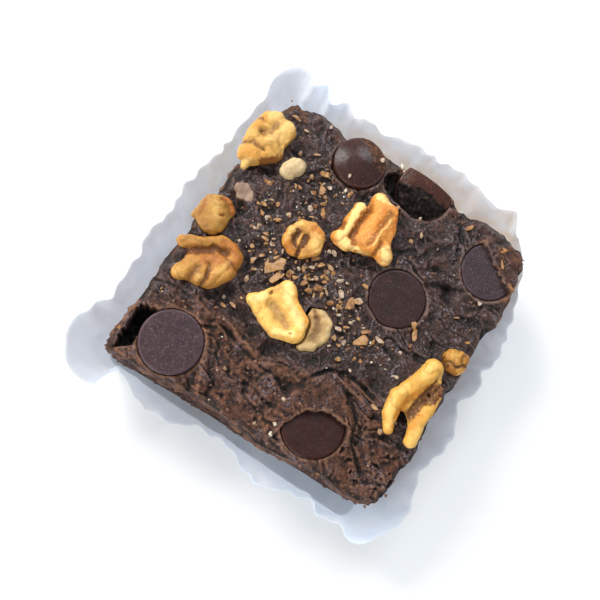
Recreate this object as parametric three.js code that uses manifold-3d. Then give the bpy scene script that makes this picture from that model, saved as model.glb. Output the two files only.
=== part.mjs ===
// A square chocolate brownie with large chocolate discs and walnut pieces, in a flared paper case.
// Millimetres, +Z up. The origin is the middle of the flat base of the paper case.
// Front, right, back and left are the sides towards -Y, +X, +Y and -X.
import * as THREE from "three";
import { mergeVertices } from "three/addons/utils/BufferGeometryUtils.js";
import Module from "manifold-3d";

const wasm = await Module();
wasm.setup();

// Driving dimensions
const TOP = 28; // mean height of the crust over the table
const PAPER = 0.4; // paper, with the stiffness of its pleats
const GAP = 0.3; // clearance between pieces that touch
const WELD = 0.02; // points closer than this are one
const BOTTOM = PAPER + GAP; // underside of the brownie
const CORNERS = [
  [-32.9, -35.0],
  [31.6, -31.9],
  [33.0, 33.9],
  [-31.2, 33.9],
]; // corners of the top: front left, front right, back right, back left
const MEAN_HALF = 34; // mean half width, by which the sides are scaled
const TOP_CELLS = 26; // grid of the crust
const SIDE_ROWS = 5; // rows of the grid down each side
const SIDE_REACH = 0.25; // share of the outline's bulges that is left at the underside
const TAPER = 1.0; // how far the underside lies inside the top, on each side
const EDGE_DROP = 0.9; // the crust's rounded edge
const EDGE_INSET = [0, 0.014, 0.03]; // share by which the top draws in: inside, at its edges, at its corners
const LIP = { down: 3.2, wave: 0.8, pitch: 0.45 }; // how far down the sides the crust's edge reaches
const CRAGS = { coarse: 0.45, fine: 0.2, pitch: [0.7, 1.3], corner: 0.7 }; // roughness of the sides
const SWELLS = [
  { size: 15, height: 0.6, shift: [3.1, 7.7], seed: 1 },
  { size: 6, height: 0.3, shift: [0, 0], seed: 2 },
]; // broad unevenness of the crust
const CASE = { halfX: 34.0, halfY: 35.1, corner: 3.0, bend: 0.9 }; // base of the case
const CASE_COLUMNS = 116; // steps round the case
const CASE_ROWS = 4; // steps up its wall
const FLARE_POWER = 1.4; // the wall leaves the base upright and opens towards the rim

// Bulges and dents of the outline on each side: distance from its first corner, size outwards, half width
const SIDE_BUMPS = [
  [[22, -0.9, 8], [38, 0.9, 5], [53, -0.6, 3], [57.5, 0.6, 3]],
  [[11, 1.4, 8], [33, 0.5, 8], [52, 2.0, 7]],
  [[8.5, 2.8, 5.5], [29, 0.5, 6], [43, 0.9, 5], [49.5, -1.2, 3]],
  [[6, 1.1, 5], [22, 0.9, 5], [37, 0.7, 3], [45.5, 0.6, 3], [62, -0.5, 6]],
];

// Raised folds of the crust: the line they follow, their rise and half width
const FOLDS = [
  { line: [[-26.6, -18.6], [-21.9, -17.6], [-13.8, -18.2], [-5.1, -19.9], [3.3, -18.7], [10, -14.9]],
    rise: 1.1, width: 2.3 },
  { line: [[4.4, -26.7], [8.0, -20.8], [15.6, -18.6], [18.4, -21.5]], rise: 1.0, width: 1.7 },
  { line: [[5.1, 20.5], [11.6, 26.5], [17.5, 29.2]], rise: 0.7, width: 1.7 },
  { line: [[9.2, 15.2], [15.2, 20.5], [19.5, 28.6]], rise: 0.7, width: 1.5 },
  { line: [[-15.9, -24.8], [-12.2, -28.4], [-10.8, -32.2]], rise: 0.8, width: 1.5 },
  { line: [[23.9, 29.5], [28.9, 27.8], [32.4, 22.2]], rise: 1.3, width: 2.3 },
  { line: [[-32.0, -34.0], [-31.6, -24.7]], rise: 0.8, width: 1.3 },
];

// Sunk places of the crust: centre, depth, half width
const DENTS = [
  { at: [17.8, -11.3], depth: 1.6, width: 2.2 },
  { at: [20.5, 16.4], depth: 0.8, width: 2.6 },
  { at: [-27.0, 5.2], depth: 1.2, width: 2.4 },
  { at: [-19.0, -12.6], depth: 0.9, width: 3.0 },
];

// Chocolate discs and drops. cover is the side that crust lies over: its direction in degrees from +X, and
// the distance from the middle where it starts. tilt raises the side that lies in that direction.
const CHIPS = {
  disc_left: { at: [-21.5, -26.8], radius: 6.6, rise: 1.3, dome: 0, colour: 0x463739 },
  disc_centre: { at: [12.1, 7.7], radius: 6.4, rise: 0.8, dome: 0, colour: 0x43343a },
  disc_right: { at: [26.0, 24.9], radius: 6.4, rise: 0.5, dome: 0, cover: [58, 2.3], colour: 0x46383b },
  disc_front: { at: [11.4, -24.5], radius: 6.8, rise: 0.8, dome: 0, cover: [124, 3.3], tilt: [-60, 7],
    colour: 0x452a26 },
  drop_back: { at: [-10.8, 28.2], radius: 5.8, rise: 1.7, dome: 1.6, colour: 0x3f2f30 },
  drop_hollow: { at: [4.6, 31.5], radius: 6.3, rise: 0.9, dome: 1.2, cover: [89, 2.6], tilt: [100, 14],
    colour: 0x33231f },
};
const CHIP_SIDES = 20;
const CHIP_DEPTH = 3.2; // how far a chip reaches down below its face
const CHIP_FOOT = 0.62; // radius of its underside, as a share
const CHIP_SHOULDER = { low: 0.9, high: 0.35, waist: 0.99, face: 0.93, crown: 0.72 }; // its rounded rim

// Walnut pieces. Each lobe is a line of round blobs: x and y from the middle of the piece, and radius. The web is
// the plate between the lobes: half its thickness, and its outline. rise lifts the piece over the crust, and flat
// squashes it from above.
const NUTS = {
  walnut_corner: { at: [-30.5, 19.5], rise: 1.4, flat: 0.95, colour: 0xdcb46a,
    lobes: [
      [[-1.9, 5.1, 1.5], [-0.6, 6.6, 1.5]],
      [[1.7, 3.6, 2.3], [2.9, 5, 2.3]],
      [[-1.1, -1.1, 2.8], [1.4, 0.1, 2.8]],
      [[-1.3, -4.1, 2.1], [-0.1, -4, 2.1], [-0.1, -7, 1]],
      [[1.4, -2.8, 1.9], [3.9, -0.9, 1.7]],
      [[-2.7, 1.7, 1.4], [-2.5, 3.3, 1.4]],
    ],
    web: { half: 1.3, outline: [[-2.4, 5.4], [-0.4, 6.2], [2.6, 5.9], [3.8, 3.1], [3.4, -1.2], [0.4, -4.6],
      [-1.6, -4.8], [-2.5, -1.6], [-2.8, 1.9]] } },
  walnut_round: { at: [-30.0, 0.3], rise: 0.9, flat: 0.95, colour: 0xcfa45a,
    lobes: [
      [[-0.3, 0.6, 3.5], [0.9, -1.5, 3.4]],
      [[1.4, 3.2, 1.1], [3, 2, 1.1]],
      [[-2.1, -1.8, 1.3], [-2.9, -2.9, 0.8]],
    ] },
  walnut_wings: { at: [-24.5, -8.5], rise: 1.2, flat: 0.95, colour: 0xc6954d,
    lobes: [
      [[-7.3, 0.1, 1.3], [-4, 1.8, 1.4], [-0.6, 4.6, 1.4], [2.1, 4.9, 1.4], [4.2, 3.5, 1.5], [4, 1.5, 1.6]],
      [[-3.9, -5.7, 1.9], [-2.1, -3.7, 1.6]],
      [[0.3, -4.4, 1.8], [0.2, -2.6, 1.8]],
      [[2.5, -3.2, 1.9], [3.6, -0.2, 2.1], [0.9, 0.1, 1.6]],
    ],
    web: { half: 1.0, outline: [[-6.6, 0], [-3.3, 1.8], [-0.6, 4], [3.6, 3.4], [4, -1], [1.8, -4.4],
      [-3.6, -5.8], [-4.5, -1.1]] } },
  walnut_curl: { at: [-11.7, 6.6], rise: 1.3, flat: 1, colour: 0xb9853f,
    lobes: [
      [[2.5, 2.3, 1.2], [0.7, 3, 1.3], [-1.4, 2.1, 1.3], [-2.7, -0.3, 1.3], [-2, -2.9, 1.3],
        [-0.6, -3.5, 1.1]],
      [[2.6, 1.1, 1.7], [3.1, -0.6, 1.8], [1.7, -2.5, 1.2]],
    ],
    web: { half: 0.8, outline: [[-2.6, -1.9], [-2.6, 0.3], [-1.4, 2.1], [0.7, 2.9], [3, 1.6], [3.4, -0.6],
      [1.3, -3.3], [-1, -3.3]] } },
  walnut_large: { at: [-1.1, 15.5], rise: 1.8, flat: 1, colour: 0xdb9f4c,
    lobes: [
      [[-4, 3.2, 1.8], [-4, 0.6, 1.8], [-4.2, -2.1, 1.6], [-4.5, -4.6, 1.8], [-2.4, -4.7, 1.3]],
      [[-1.2, 7.4, 2.2], [0.7, 3.7, 3.1], [1.9, -0.4, 2.5]],
      [[2, 6.4, 1.8], [3.2, 3.2, 1.8]],
      [[4.9, -1.6, 2], [6, -2.4, 2.1]],
      [[-2.2, -4.6, 1.2], [1, -3.2, 1.3], [3.4, -2, 1.3]],
    ],
    web: { half: 1.1, outline: [[-3.8, 3.2], [-1.6, 3.4], [-1.4, 7], [2.2, 6.4], [3.8, 3.2], [4.6, -1.2],
      [1.5, -3.7], [-4.4, -4.8]] } },
  walnut_kite: { at: [-6.8, -8.9], rise: 1.4, flat: 0.9, colour: 0xeac47a,
    lobes: [
      [[-1.4, 4.6, 1.6], [0.8, 1.8, 1.9], [4.4, 0.4, 1.8], [5.1, -2, 1.7]],
      [[-6.6, -1.6, 0.9], [-2.4, -3.7, 1.1], [1, -4.5, 1.3], [4.6, -3, 1.5]],
      [[-6.6, -1.6, 0.9], [-4, 1.6, 1.1], [-1.6, 4.4, 1.4]],
    ],
    web: { half: 1.3, outline: [[-6, -1.5], [-3.9, 1.4], [-1.5, 4.6], [1.6, 2.2], [5, 0.6], [5.2, -2.4],
      [1.1, -4.2], [-2.8, -3.2]] } },
  walnut_slice: { at: [1.4, -8.4], rise: 0.4, flat: 0.7, colour: 0xbf9f72,
    lobes: [
      [[-0.8, 3.6, 1.2], [1.4, 2.6, 1.2], [1.9, 0, 1.2], [1, -2.6, 1.2], [-0.9, -4, 1.2]],
      [[0.2, 0.6, 1.9], [0, -1.6, 1.9]],
    ],
    web: { half: 0.8, outline: [[-3.2, 3.2], [-0.9, 4], [1.2, 2.8], [1.8, 0], [0.8, -2.6], [-1, -3.8],
      [-2.6, -3]] } },
  walnut_long: { at: [26.8, -9.2], rise: 1.9, flat: 1, colour: 0xe0b163,
    lobes: [
      [[-2.3, -7.7, 1.4], [-3.7, -4.7, 1.9], [-4.2, -1, 2.2], [-2.7, 2.4, 2], [-1.4, 5.5, 2.3],
        [-0.8, 8.3, 2.3]],
      [[2.9, -7.1, 1.8], [2.6, -4.8, 1.7], [2.5, -2.1, 1.5], [2.9, 0.2, 1.2]],
    ],
    web: { half: 0.9, outline: [[-1.4, -2.1], [-1.6, 0.2], [-0.8, 3], [0, 5.4], [1.2, 7], [3, 5.4],
      [3.4, 3.5], [3, 1.2], [2.2, -2.1], [0.6, -3.6]] } },
  walnut_bulb: { at: [29.9, 3.1], rise: 0.9, flat: 0.95, colour: 0xbf8c42,
    lobes: [
      [[-1.5, 0.4, 2.1], [-0.8, 0.3, 2.1]],
      [[0.6, 1.5, 1.9], [0.9, 0.1, 1.6]],
      [[-0.6, -1.2, 1.5], [0.6, -1.2, 1.3]],
    ] },
  nut_pale: { at: [-21.9, 18.5], rise: 0.8, flat: 0.9, colour: 0xd8c89a,
    lobes: [[[-0.4, -0.8, 2.3], [0.4, 0.8, 2.4]]] },
  nut_grey: { at: [-27.4, 7.6], rise: 0.3, flat: 0.85, colour: 0x8f8278,
    lobes: [[[-0.9, 0.9, 1.5], [1.0, 0, 1.6]]] },
};
const NUT_CELL = 1.35; // grid step of the nuts' skin
const SOCKET_CELL = 1.9; // coarsest grid step of the sockets they lie in
const SOCKET_DETAIL = 0.8; // grid step of a narrow nut's socket, as a share of its widest blob
const WEB_EDGE = 0.8; // how far a web's edge lies outside its outline
const BLEND = 0.7; // how softly two lobes run into each other
const BLEND_SHRINK = 0.4; // share of it that is taken off again, because blended lobes swell
const SOCKET = 0.6; // how far a socket's wall stays off the nut in it

// Husk and nut flakes that lie on the crust: x, y and length
const FLAKES = [
  [-13.8, -1.7, 6.5], [10.3, -4.7, 4.6], [13.4, -2.3, 2.6], [-14.1, 18.3, 3.8], [-15.5, 21.9, 3.2],
  [-24.6, 12.8, 3.0], [4.4, 0.9, 4.6], [19.2, 3.4, 3.6], [-5.2, 4.2, 2.8], [-11.2, 14.0, 3.6],
  [17.2, 30.8, 3.0], [9.2, 22.6, 2.4], [-17.6, -3.2, 2.4], [-16.6, -7.1, 2.2], [-22.5, 8.1, 2.2],
  [-21.8, 2.5, 2.4], [20.2, -14.6, 2.2], [-27.6, 28.8, 2.6], [1.4, 24.6, 2.2], [-19.4, 24.6, 2.4],
];
const FLAKE = { thickness: 0.9, foot: 0.5, face: 0.46, width: 0.42, spread: 0.12, tip: 0.3, lift: 0.3 };

// The dark cleft behind the thin crust at the front left corner
const CLEFT = {
  outline: [[-30.6, -34.1], [-27.6, -31.6], [-28.0, -28.5], [-27.3, -23.0], [-31.0, -23.8]],
  low: TOP - 6,
  high: TOP + 3,
};
// Rough hollows beside the back drop and under the front edge
const HOLLOWS = [
  { at: [0.6, 29.4, TOP + 0.4], radii: [5.2, 3.4, 3.2] },
  { at: [7.0, -34.6, TOP - 5.0], radii: [9.5, 2.6, 1.5] },
];
const HOLLOW_SIDES = [10, 7];

// The case's rim: distance round its base from the front left corner, and how far the rim leans out there
const RIM_LEAN = [
  [0, 8.0], [3.0, 7.4], [5.0, 1.0], [7.5, 2.4], [14, 5.2], [21, 4.6], [25.5, 2.1], [31, 1.9], [43.5, 5.0],
  [51.5, 2.3], [55.2, 1.2], [57.6, 3.8], [62, 2.4], [67, 4.6], [72, 6.5], [82.5, 4.6], [91, 6.5],
  [101.4, 4.6], [105, 6.5], [109.5, 5.1], [113, 6.8], [123, 5.4], [130, 3.6], [135, 1.6], [139, 4.5],
  [144, 8.6], [148, 6.6], [158, 8.6], [168, 6.9], [182, 4.6], [190, 4.0], [198, 5.4], [201, 7.6],
  [204.5, 3.2], [217, 4.2], [234, 6.1], [240, 5.4], [245, 6.3], [251, 4.9], [261, 4.3], [266, 6.7],
];
// Height of the rim in the same measure
const RIM_HEIGHT = [
  [0, 17], [6, 18.5], [30, 17.5], [56, 17], [70, 18], [100, 18.5], [131, 18], [136, 19], [144, 23], [170, 25],
  [196, 25.5], [203, 22], [215, 18.5], [250, 18],
];
// Short pleats of the back left corner
const PLEATS = { from: 183, to: 200, pitch: 6.2, size: 1.2, peak: 189.3 };
const CRIMP = { pitch: 4.6, size: 0.28, wander: 2, over: 9 }; // faint upright creases all round
const RIM_WAVE = { size: 0.5, over: 4 }; // small ups and downs of the rim

// Repeatable noise
// A whole-number hash, spread over -1 to 1.
function hash(i, j, seed) {
  let h = Math.imul(i | 0, 374761393) ^ Math.imul(j | 0, 668265263) ^ Math.imul(seed | 0, 1274126177);
  h = Math.imul(h ^ (h >>> 13), 1274126177);
  h ^= h >>> 16;
  return ((h >>> 0) / 4294967295) * 2 - 1;
}

// Smooth noise over a plane, with one swell about every unit.
function noise(x, y, seed) {
  const i = Math.floor(x);
  const j = Math.floor(y);
  const ease = (t) => t * t * (3 - 2 * t);
  const u = ease(x - i);
  const v = ease(y - j);
  const near = hash(i, j, seed) * (1 - u) + hash(i + 1, j, seed) * u;
  const far = hash(i, j + 1, seed) * (1 - u) + hash(i + 1, j + 1, seed) * u;
  return near * (1 - v) + far * v;
}

// Bell-shaped falloff: 1 in the middle, 0.37 at the half width
const bell = (distance, width) => Math.exp(-((distance / width) ** 2));

function distanceToLine(x, y, line) {
  let best = Infinity;
  for (let k = 0; k + 1 < line.length; k++) {
    const [ax, ay] = line[k];
    const dx = line[k + 1][0] - ax;
    const dy = line[k + 1][1] - ay;
    const t = THREE.MathUtils.clamp(((x - ax) * dx + (y - ay) * dy) / (dx * dx + dy * dy), 0, 1);
    best = Math.min(best, Math.hypot(x - ax - t * dx, y - ay - t * dy));
  }
  return best;
}

// Solids
// A three.js shape repeats its points along the seams of its texture, and these are merged first.
function toSolid(geometry) {
  const bare = geometry.clone();
  const seams = bare.hasAttribute("uv");
  bare.deleteAttribute("normal");
  bare.deleteAttribute("uv");
  const merged = seams ? mergeVertices(bare, 1e-4) : bare;
  return new wasm.Manifold(
    new wasm.Mesh({
      numProp: 3,
      vertProperties: new Float32Array(merged.attributes.position.array),
      triVerts: new Uint32Array(merged.index.array),
    }),
  );
}

// Points that a cut leaves closer than WELD are drawn together. Faces that vanish or fold shut are left out.
function toGeometry(solid) {
  const mesh = solid.getMesh();
  const cut = new THREE.BufferGeometry()
    .setAttribute("position", new THREE.BufferAttribute(new Float32Array(mesh.vertProperties), 3))
    .setIndex(new THREE.BufferAttribute(new Uint32Array(mesh.triVerts), 1));
  const welded = mergeVertices(cut, WELD);
  const faces = new Map();
  for (let k = 0; k < welded.index.count; k += 3) {
    const face = [0, 1, 2].map((m) => welded.index.getX(k + m));
    const key = [...face].sort((a, b) => a - b).join();
    if (new Set(face).size < 3) continue;
    if (!faces.delete(key)) faces.set(key, face);
  }
  return welded.setIndex([...faces.values()].flat());
}

// A surface from rows of points and triangles of their numbers.
function meshOf(points, triangles) {
  return new THREE.BufferGeometry()
    .setAttribute("position", new THREE.BufferAttribute(new Float32Array(points.flat()), 3))
    .setIndex(triangles.flat());
}

const group = new THREE.Group();

function addPiece(name, geometry, colour, roughness) {
  geometry.computeVertexNormals();
  const material = new THREE.MeshStandardMaterial({ color: colour, roughness, metalness: 0 });
  const mesh = new THREE.Mesh(geometry, material);
  mesh.name = name;
  group.add(mesh);
}

// The crust's height, and the brownie's outline
function crustHeight(x, y) {
  const swell = ({ size, height, shift, seed }) => height * noise(x / size + shift[0], y / size + shift[1], seed);
  const dent = ({ at, depth, width }) => depth * bell(Math.hypot(x - at[0], y - at[1]), width);
  const fold = ({ line, rise, width }) => rise * bell(distanceToLine(x, y, line), width);
  const total = (list, size) => list.reduce((sum, item) => sum + size(item), 0);
  return TOP + total(SWELLS, swell) + total(FOLDS, fold) - total(DENTS, dent);
}

// A point of the top's outline: t runs from 0 to 1 along one side. reach scales the side's bulges.
function outlinePoint(side, t, reach) {
  const [ax, ay] = CORNERS[side];
  const [bx, by] = CORNERS[(side + 1) % 4];
  const length = Math.hypot(bx - ax, by - ay);
  const bulges = SIDE_BUMPS[side].map(([at, size, width]) => size * bell(t * length - at, width));
  const out = bulges.reduce((sum, bulge) => sum + bulge, 0);
  const fade = Math.min(1, 4 * t, 4 * (1 - t)) * reach * out;
  return [ax + (bx - ax) * t + (fade * (by - ay)) / length, ay + (by - ay) * t - (fade * (bx - ax)) / length];
}

// A point of the top from its place u, v in the square from 0 to 1: the four sides blended.
function topPoint(u, v, inset) {
  const front = outlinePoint(0, u, 1);
  const right = outlinePoint(1, v, 1);
  const back = outlinePoint(2, 1 - u, 1);
  const left = outlinePoint(3, 1 - v, 1);
  return [0, 1].map((k) => {
    const sides = front[k] * (1 - v) + back[k] * v + left[k] * (1 - u) + right[k] * u;
    const [frontLeft, frontRight, backRight, backLeft] = CORNERS.map((corner) => corner[k]);
    const corners = (frontLeft * (1 - u) + frontRight * u) * (1 - v) + (backLeft * (1 - u) + backRight * u) * v;
    return (sides - corners) * (1 - inset);
  });
}

// The bare brownie: a grid over the top, rows down the sides and a flat underside.
function brownieBlock() {
  const n = TOP_CELLS;
  const points = [];
  const triangles = [];
  const ring = [];
  const at = (i, j) => i * (n + 1) + j;
  const isEdge = (i) => i === 0 || i === n;
  for (let i = 0; i <= n; i++) {
    for (let j = 0; j <= n; j++) {
      const onEdges = isEdge(i) + isEdge(j);
      const [x, y] = topPoint(i / n, j / n, EDGE_INSET[onEdges]);
      points.push([x, y, crustHeight(x, y) - EDGE_DROP * onEdges]);
    }
  }
  for (let i = 0; i < n; i++) {
    for (let j = 0; j < n; j++) {
      triangles.push([at(i, j), at(i + 1, j), at(i + 1, j + 1)], [at(i, j), at(i + 1, j + 1), at(i, j + 1)]);
    }
  }
  for (let k = 0; k < n; k++) ring.push({ side: 0, t: k / n, first: at(k, 0) });
  for (let k = 0; k < n; k++) ring.push({ side: 1, t: k / n, first: at(n, k) });
  for (let k = 0; k < n; k++) ring.push({ side: 2, t: k / n, first: at(n - k, n) });
  for (let k = 0; k < n; k++) ring.push({ side: 3, t: k / n, first: at(0, n - k) });
  let above = ring.map((r) => r.first);
  for (let row = 1; row <= SIDE_ROWS; row++) {
    const down = row / SIDE_ROWS;
    const reach = THREE.MathUtils.lerp(1, SIDE_REACH, down);
    const below = ring.map((r, k) => {
      const [x, y] = outlinePoint(r.side, r.t, reach);
      const coarse = CRAGS.coarse * noise(k * CRAGS.pitch[0], row * CRAGS.pitch[1] + 40, 3);
      const crags = row === SIDE_ROWS ? 0 : coarse + CRAGS.fine * hash(k, row, 4);
      const round = r.t === 0 ? CRAGS.corner : 0;
      const scale = 1 + (crags - TAPER * down - round) / MEAN_HALF;
      const lip = TOP - LIP.down + LIP.wave * noise(k * LIP.pitch, 9, 5);
      const z = row === 1 ? lip : THREE.MathUtils.lerp(TOP - EDGE_DROP, BOTTOM, down);
      points.push([x * scale, y * scale, z]);
      return points.length - 1;
    });
    below.forEach((b, k) => {
      const next = (k + 1) % ring.length;
      triangles.push([above[k], b, below[next]], [above[k], below[next], above[next]]);
    });
    above = below;
  }
  points.push([0, 0, BOTTOM]);
  above.forEach((a, k) => triangles.push([a, points.length - 1, above[(k + 1) % ring.length]]));
  return toSolid(meshOf(points, triangles));
}

// A chip or disc, turned about its own axis, then tilted and set into the crust. grow makes it larger.
function chipSolid({ at, radius, rise, dome, tilt = [0, 0], cover }, grow) {
  const r = radius + grow;
  const { low, high, waist, face: flat, crown } = CHIP_SHOULDER;
  const face = [
    [0, -CHIP_DEPTH - grow],
    [CHIP_FOOT * r, -CHIP_DEPTH - grow],
    [r, -low],
    [waist * r, grow - high],
    [flat * r, grow],
    [CHIP_FOOT * r, crown * dome + grow],
    [0, dome + grow],
  ];
  const profile = face.map(([x, z]) => new THREE.Vector2(x, z));
  const [towards, degrees] = tilt.map(THREE.MathUtils.degToRad);
  const lift = new THREE.Vector3(-Math.sin(towards), Math.cos(towards), 0);
  const geometry = new THREE.LatheGeometry(profile, CHIP_SIDES)
    .rotateX(Math.PI / 2)
    .applyMatrix4(new THREE.Matrix4().makeRotationAxis(lift, -degrees))
    .translate(at[0], at[1], TOP + rise);
  const solid = toSolid(geometry);
  if (!cover) return solid;
  const [direction, distance] = cover;
  const reach = 2 * radius;
  const block = new THREE.BoxGeometry(reach, 2 * reach, 2 * reach)
    .translate(distance + grow + reach / 2, 0, 0)
    .rotateZ(THREE.MathUtils.degToRad(direction))
    .translate(at[0], at[1], TOP);
  return solid.subtract(toSolid(block));
}

// The twelve edges of a grid cell, as pairs of corners: the first four run along X, then Y, then Z.
const CELL_EDGES = [0, 1, 2].flatMap((axis) =>
  [0, 1, 2, 3].map((m) => {
    const from = [0, 0, 0];
    from[(axis + 1) % 3] = m & 1;
    from[(axis + 2) % 3] = m >> 1;
    const to = [...from];
    to[axis] = 1;
    return [from, to];
  }),
);

// The crossed edges of a cell, numbered by the patch of skin that crosses them, and -1 where none does.
function patchesOf(inside) {
  const patch = CELL_EDGES.map(([a, b], e) => (inside(a) === inside(b) ? -1 : e));
  const join = (e, f) => {
    const old = patch[f];
    patch.forEach((p, k) => {
      if (p === old) patch[k] = patch[e];
    });
  };
  const isEnd = (e, corner) => CELL_EDGES[e].some((c) => c.join() === corner.join());
  const share = (e, f) => CELL_EDGES[e].some((corner) => inside(corner) && isEnd(f, corner));
  for (let axis = 0; axis < 3; axis++) {
    for (let side = 0; side < 2; side++) {
      const onSide = (e) => CELL_EDGES[e].every((corner) => corner[axis] === side);
      const crossed = [...patch.keys()].filter((e) => patch[e] >= 0 && onSide(e));
      for (const e of crossed) {
        for (const f of crossed) {
          if (e < f && (crossed.length === 2 || share(e, f))) join(e, f);
        }
      }
    }
  }
  return patch;
}

// The skin of a smooth solid on an even grid: one point for each patch in a cell that it crosses, and one quad
// round each grid edge that it crosses. distance is below zero inside.
function skin(distance, low, high, step) {
  const count = low.map((a, k) => Math.ceil((high[k] - a) / step) + 1);
  const index = (c) => c[0] + count[0] * (c[1] + count[1] * c[2]);
  const place = (c) => c.map((m, k) => low[k] + m * step);
  const plus = (c, d) => c.map((m, k) => m + d[k]);
  const nodes = [];
  for (let k = 0; k < count[2]; k++) {
    for (let j = 0; j < count[1]; j++) {
      for (let i = 0; i < count[0]; i++) nodes.push([i, j, k]);
    }
  }
  const values = nodes.map((c) => distance(...place(c)));
  const points = [];
  const pointOf = new Map();
  for (const cell of nodes.filter((c) => c.every((m, k) => m + 1 < count[k]))) {
    const value = (corner) => values[index(plus(cell, corner))];
    const patch = patchesOf((corner) => value(corner) < 0);
    for (const name of new Set(patch.filter((p) => p >= 0))) {
      const crossings = CELL_EDGES.filter((_, e) => patch[e] === name).map(([a, b]) => {
        const t = value(a) / (value(a) - value(b));
        return new THREE.Vector3(...place(plus(cell, a.map((m, k) => m + t * (b[k] - m)))));
      });
      const sum = crossings.reduce((total, crossing) => total.add(crossing), new THREE.Vector3());
      patch.forEach((p, e) => {
        if (p === name) pointOf.set(index(cell) * 12 + e, points.length);
      });
      points.push(sum.divideScalar(crossings.length).toArray());
    }
  }
  const triangles = [];
  for (const node of nodes.filter((c) => c.every((m, k) => m > 0 && m + 1 < count[k]))) {
    const here = values[index(node)] < 0;
    for (let axis = 0; axis < 3; axis++) {
      const next = [...node];
      next[axis] += 1;
      if (here === values[index(next)] < 0) continue;
      const quad = [[0, 0], [1, 0], [1, 1], [0, 1]].map(([back1, back2]) => {
        const cell = [...node];
        cell[(axis + 1) % 3] -= back1;
        cell[(axis + 2) % 3] -= back2;
        return pointOf.get(index(cell) * 12 + axis * 4 + back1 + 2 * back2);
      });
      if (!here) quad.reverse();
      triangles.push([quad[0], quad[1], quad[2]], [quad[0], quad[2], quad[3]]);
    }
  }
  return meshOf(points, triangles);
}

// Distance to one lobe: the nearest of its tapered stretches.
function lobeDistance(x, y, z, lobe) {
  let best = Infinity;
  for (let k = 0; k + 1 < lobe.length; k++) {
    const [ax, ay, ar] = lobe[k];
    const [bx, by, br] = lobe[k + 1];
    const dx = bx - ax;
    const dy = by - ay;
    const t = THREE.MathUtils.clamp(((x - ax) * dx + (y - ay) * dy) / (dx * dx + dy * dy), 0, 1);
    best = Math.min(best, Math.hypot(x - ax - t * dx, y - ay - t * dy, z) - (ar + t * (br - ar)));
  }
  return best;
}

// Distance to a web: a flat plate with a rounded edge.
function webDistance(x, y, z, { half, outline }) {
  let inside = false;
  outline.forEach(([ax, ay], k) => {
    const [bx, by] = outline[(k + 1) % outline.length];
    if (ay > y !== by > y && x < ((bx - ax) * (y - ay)) / (by - ay) + ax) inside = !inside;
  });
  const side = distanceToLine(x, y, [...outline, outline[0]]);
  const across = (inside ? -side : side) - WEB_EDGE;
  const up = Math.abs(z) - half;
  return Math.min(Math.max(across, up), 0) + Math.hypot(Math.max(across, 0), Math.max(up, 0));
}

// A walnut piece: its lobes and web blended, squashed from above and half sunk into the crust.
function nutSolid({ at, rise, flat, lobes, web }, grow, step) {
  const blobs = lobes.flat();
  const widest = Math.max(...blobs.map((b) => b[2]));
  const squash = (flat * widest + grow) / (widest + grow);
  const distance = (x, y, z) => {
    const parts = lobes.map((lobe) => lobeDistance(x, y, z / squash, lobe));
    if (web) parts.push(webDistance(x, y, z, web));
    const near = parts.reduce((sum, d) => sum + Math.exp(-d / BLEND), 0);
    return BLEND * (BLEND_SHRINK - Math.log(near)) - grow;
  };
  const margin = grow + 2 * step;
  const spread = [...blobs, ...(web ? web.outline : []).map((corner) => [...corner, WEB_EDGE])];
  const low = [0, 1].map((k) => Math.min(...spread.map((b) => b[k] - b[2])) - margin);
  const high = [0, 1].map((k) => Math.max(...spread.map((b) => b[k] + b[2])) + margin);
  const geometry = skin(distance, [...low, -widest - margin], [...high, widest + margin], step);
  return toSolid(geometry.translate(at[0], at[1], crustHeight(...at) + rise));
}

// A thin six-sided flake, tipped a little and half sunk.
function flakeSolid([x, y, length], k) {
  const width = FLAKE.width + FLAKE.spread * hash(k, 1, 6);
  const geometry = new THREE.CylinderGeometry(length * FLAKE.face, length * FLAKE.foot, FLAKE.thickness, 6)
    .rotateX(Math.PI / 2)
    .scale(1, width, 1)
    .rotateY(FLAKE.tip * hash(k, 2, 6))
    .rotateX(FLAKE.tip * hash(k, 3, 6))
    .rotateZ(Math.PI * hash(k, 4, 6))
    .translate(x, y, crustHeight(x, y) + FLAKE.lift);
  return toSolid(geometry);
}

// Hollows cut into the brownie
function cleft() {
  const outline = new THREE.Shape(CLEFT.outline.map((p) => new THREE.Vector2(...p)));
  const depth = CLEFT.high - CLEFT.low;
  const block = new THREE.ExtrudeGeometry(outline, { depth, bevelEnabled: false });
  return toSolid(block.translate(0, 0, CLEFT.low));
}

// A rough hollow, as a squashed ball.
function hollow({ at, radii }) {
  return toSolid(new THREE.SphereGeometry(1, ...HOLLOW_SIDES).scale(...radii).translate(...at));
}

// Paper case
// A point of the base's outline at a distance round it from the front left corner, and its outward direction.
function caseOutline(distance) {
  const { halfX, halfY, corner } = CASE;
  const arc = (Math.PI / 2) * corner;
  let rest = distance + arc / 2;
  for (let side = 0; ; side++) {
    const turn = (side % 4) * (Math.PI / 2);
    const [along, out] = side % 2 ? [halfY, halfX] : [halfX, halfY];
    const straight = 2 * (along - corner);
    const forward = new THREE.Vector2(Math.cos(turn), Math.sin(turn));
    const outward = new THREE.Vector2(Math.sin(turn), -Math.cos(turn));
    if (rest < arc) {
      const angle = rest / corner - Math.PI / 2;
      const direction = outward.clone().rotateAround(new THREE.Vector2(), angle);
      const centre = forward.clone().multiplyScalar(corner - along).addScaledVector(outward, out - corner);
      return { point: centre.addScaledVector(direction, corner), direction };
    }
    rest -= arc;
    if (rest < straight) {
      const point = forward.clone().multiplyScalar(rest + corner - along).addScaledVector(outward, out);
      return { point, direction: outward };
    }
    rest -= straight;
  }
}

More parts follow.
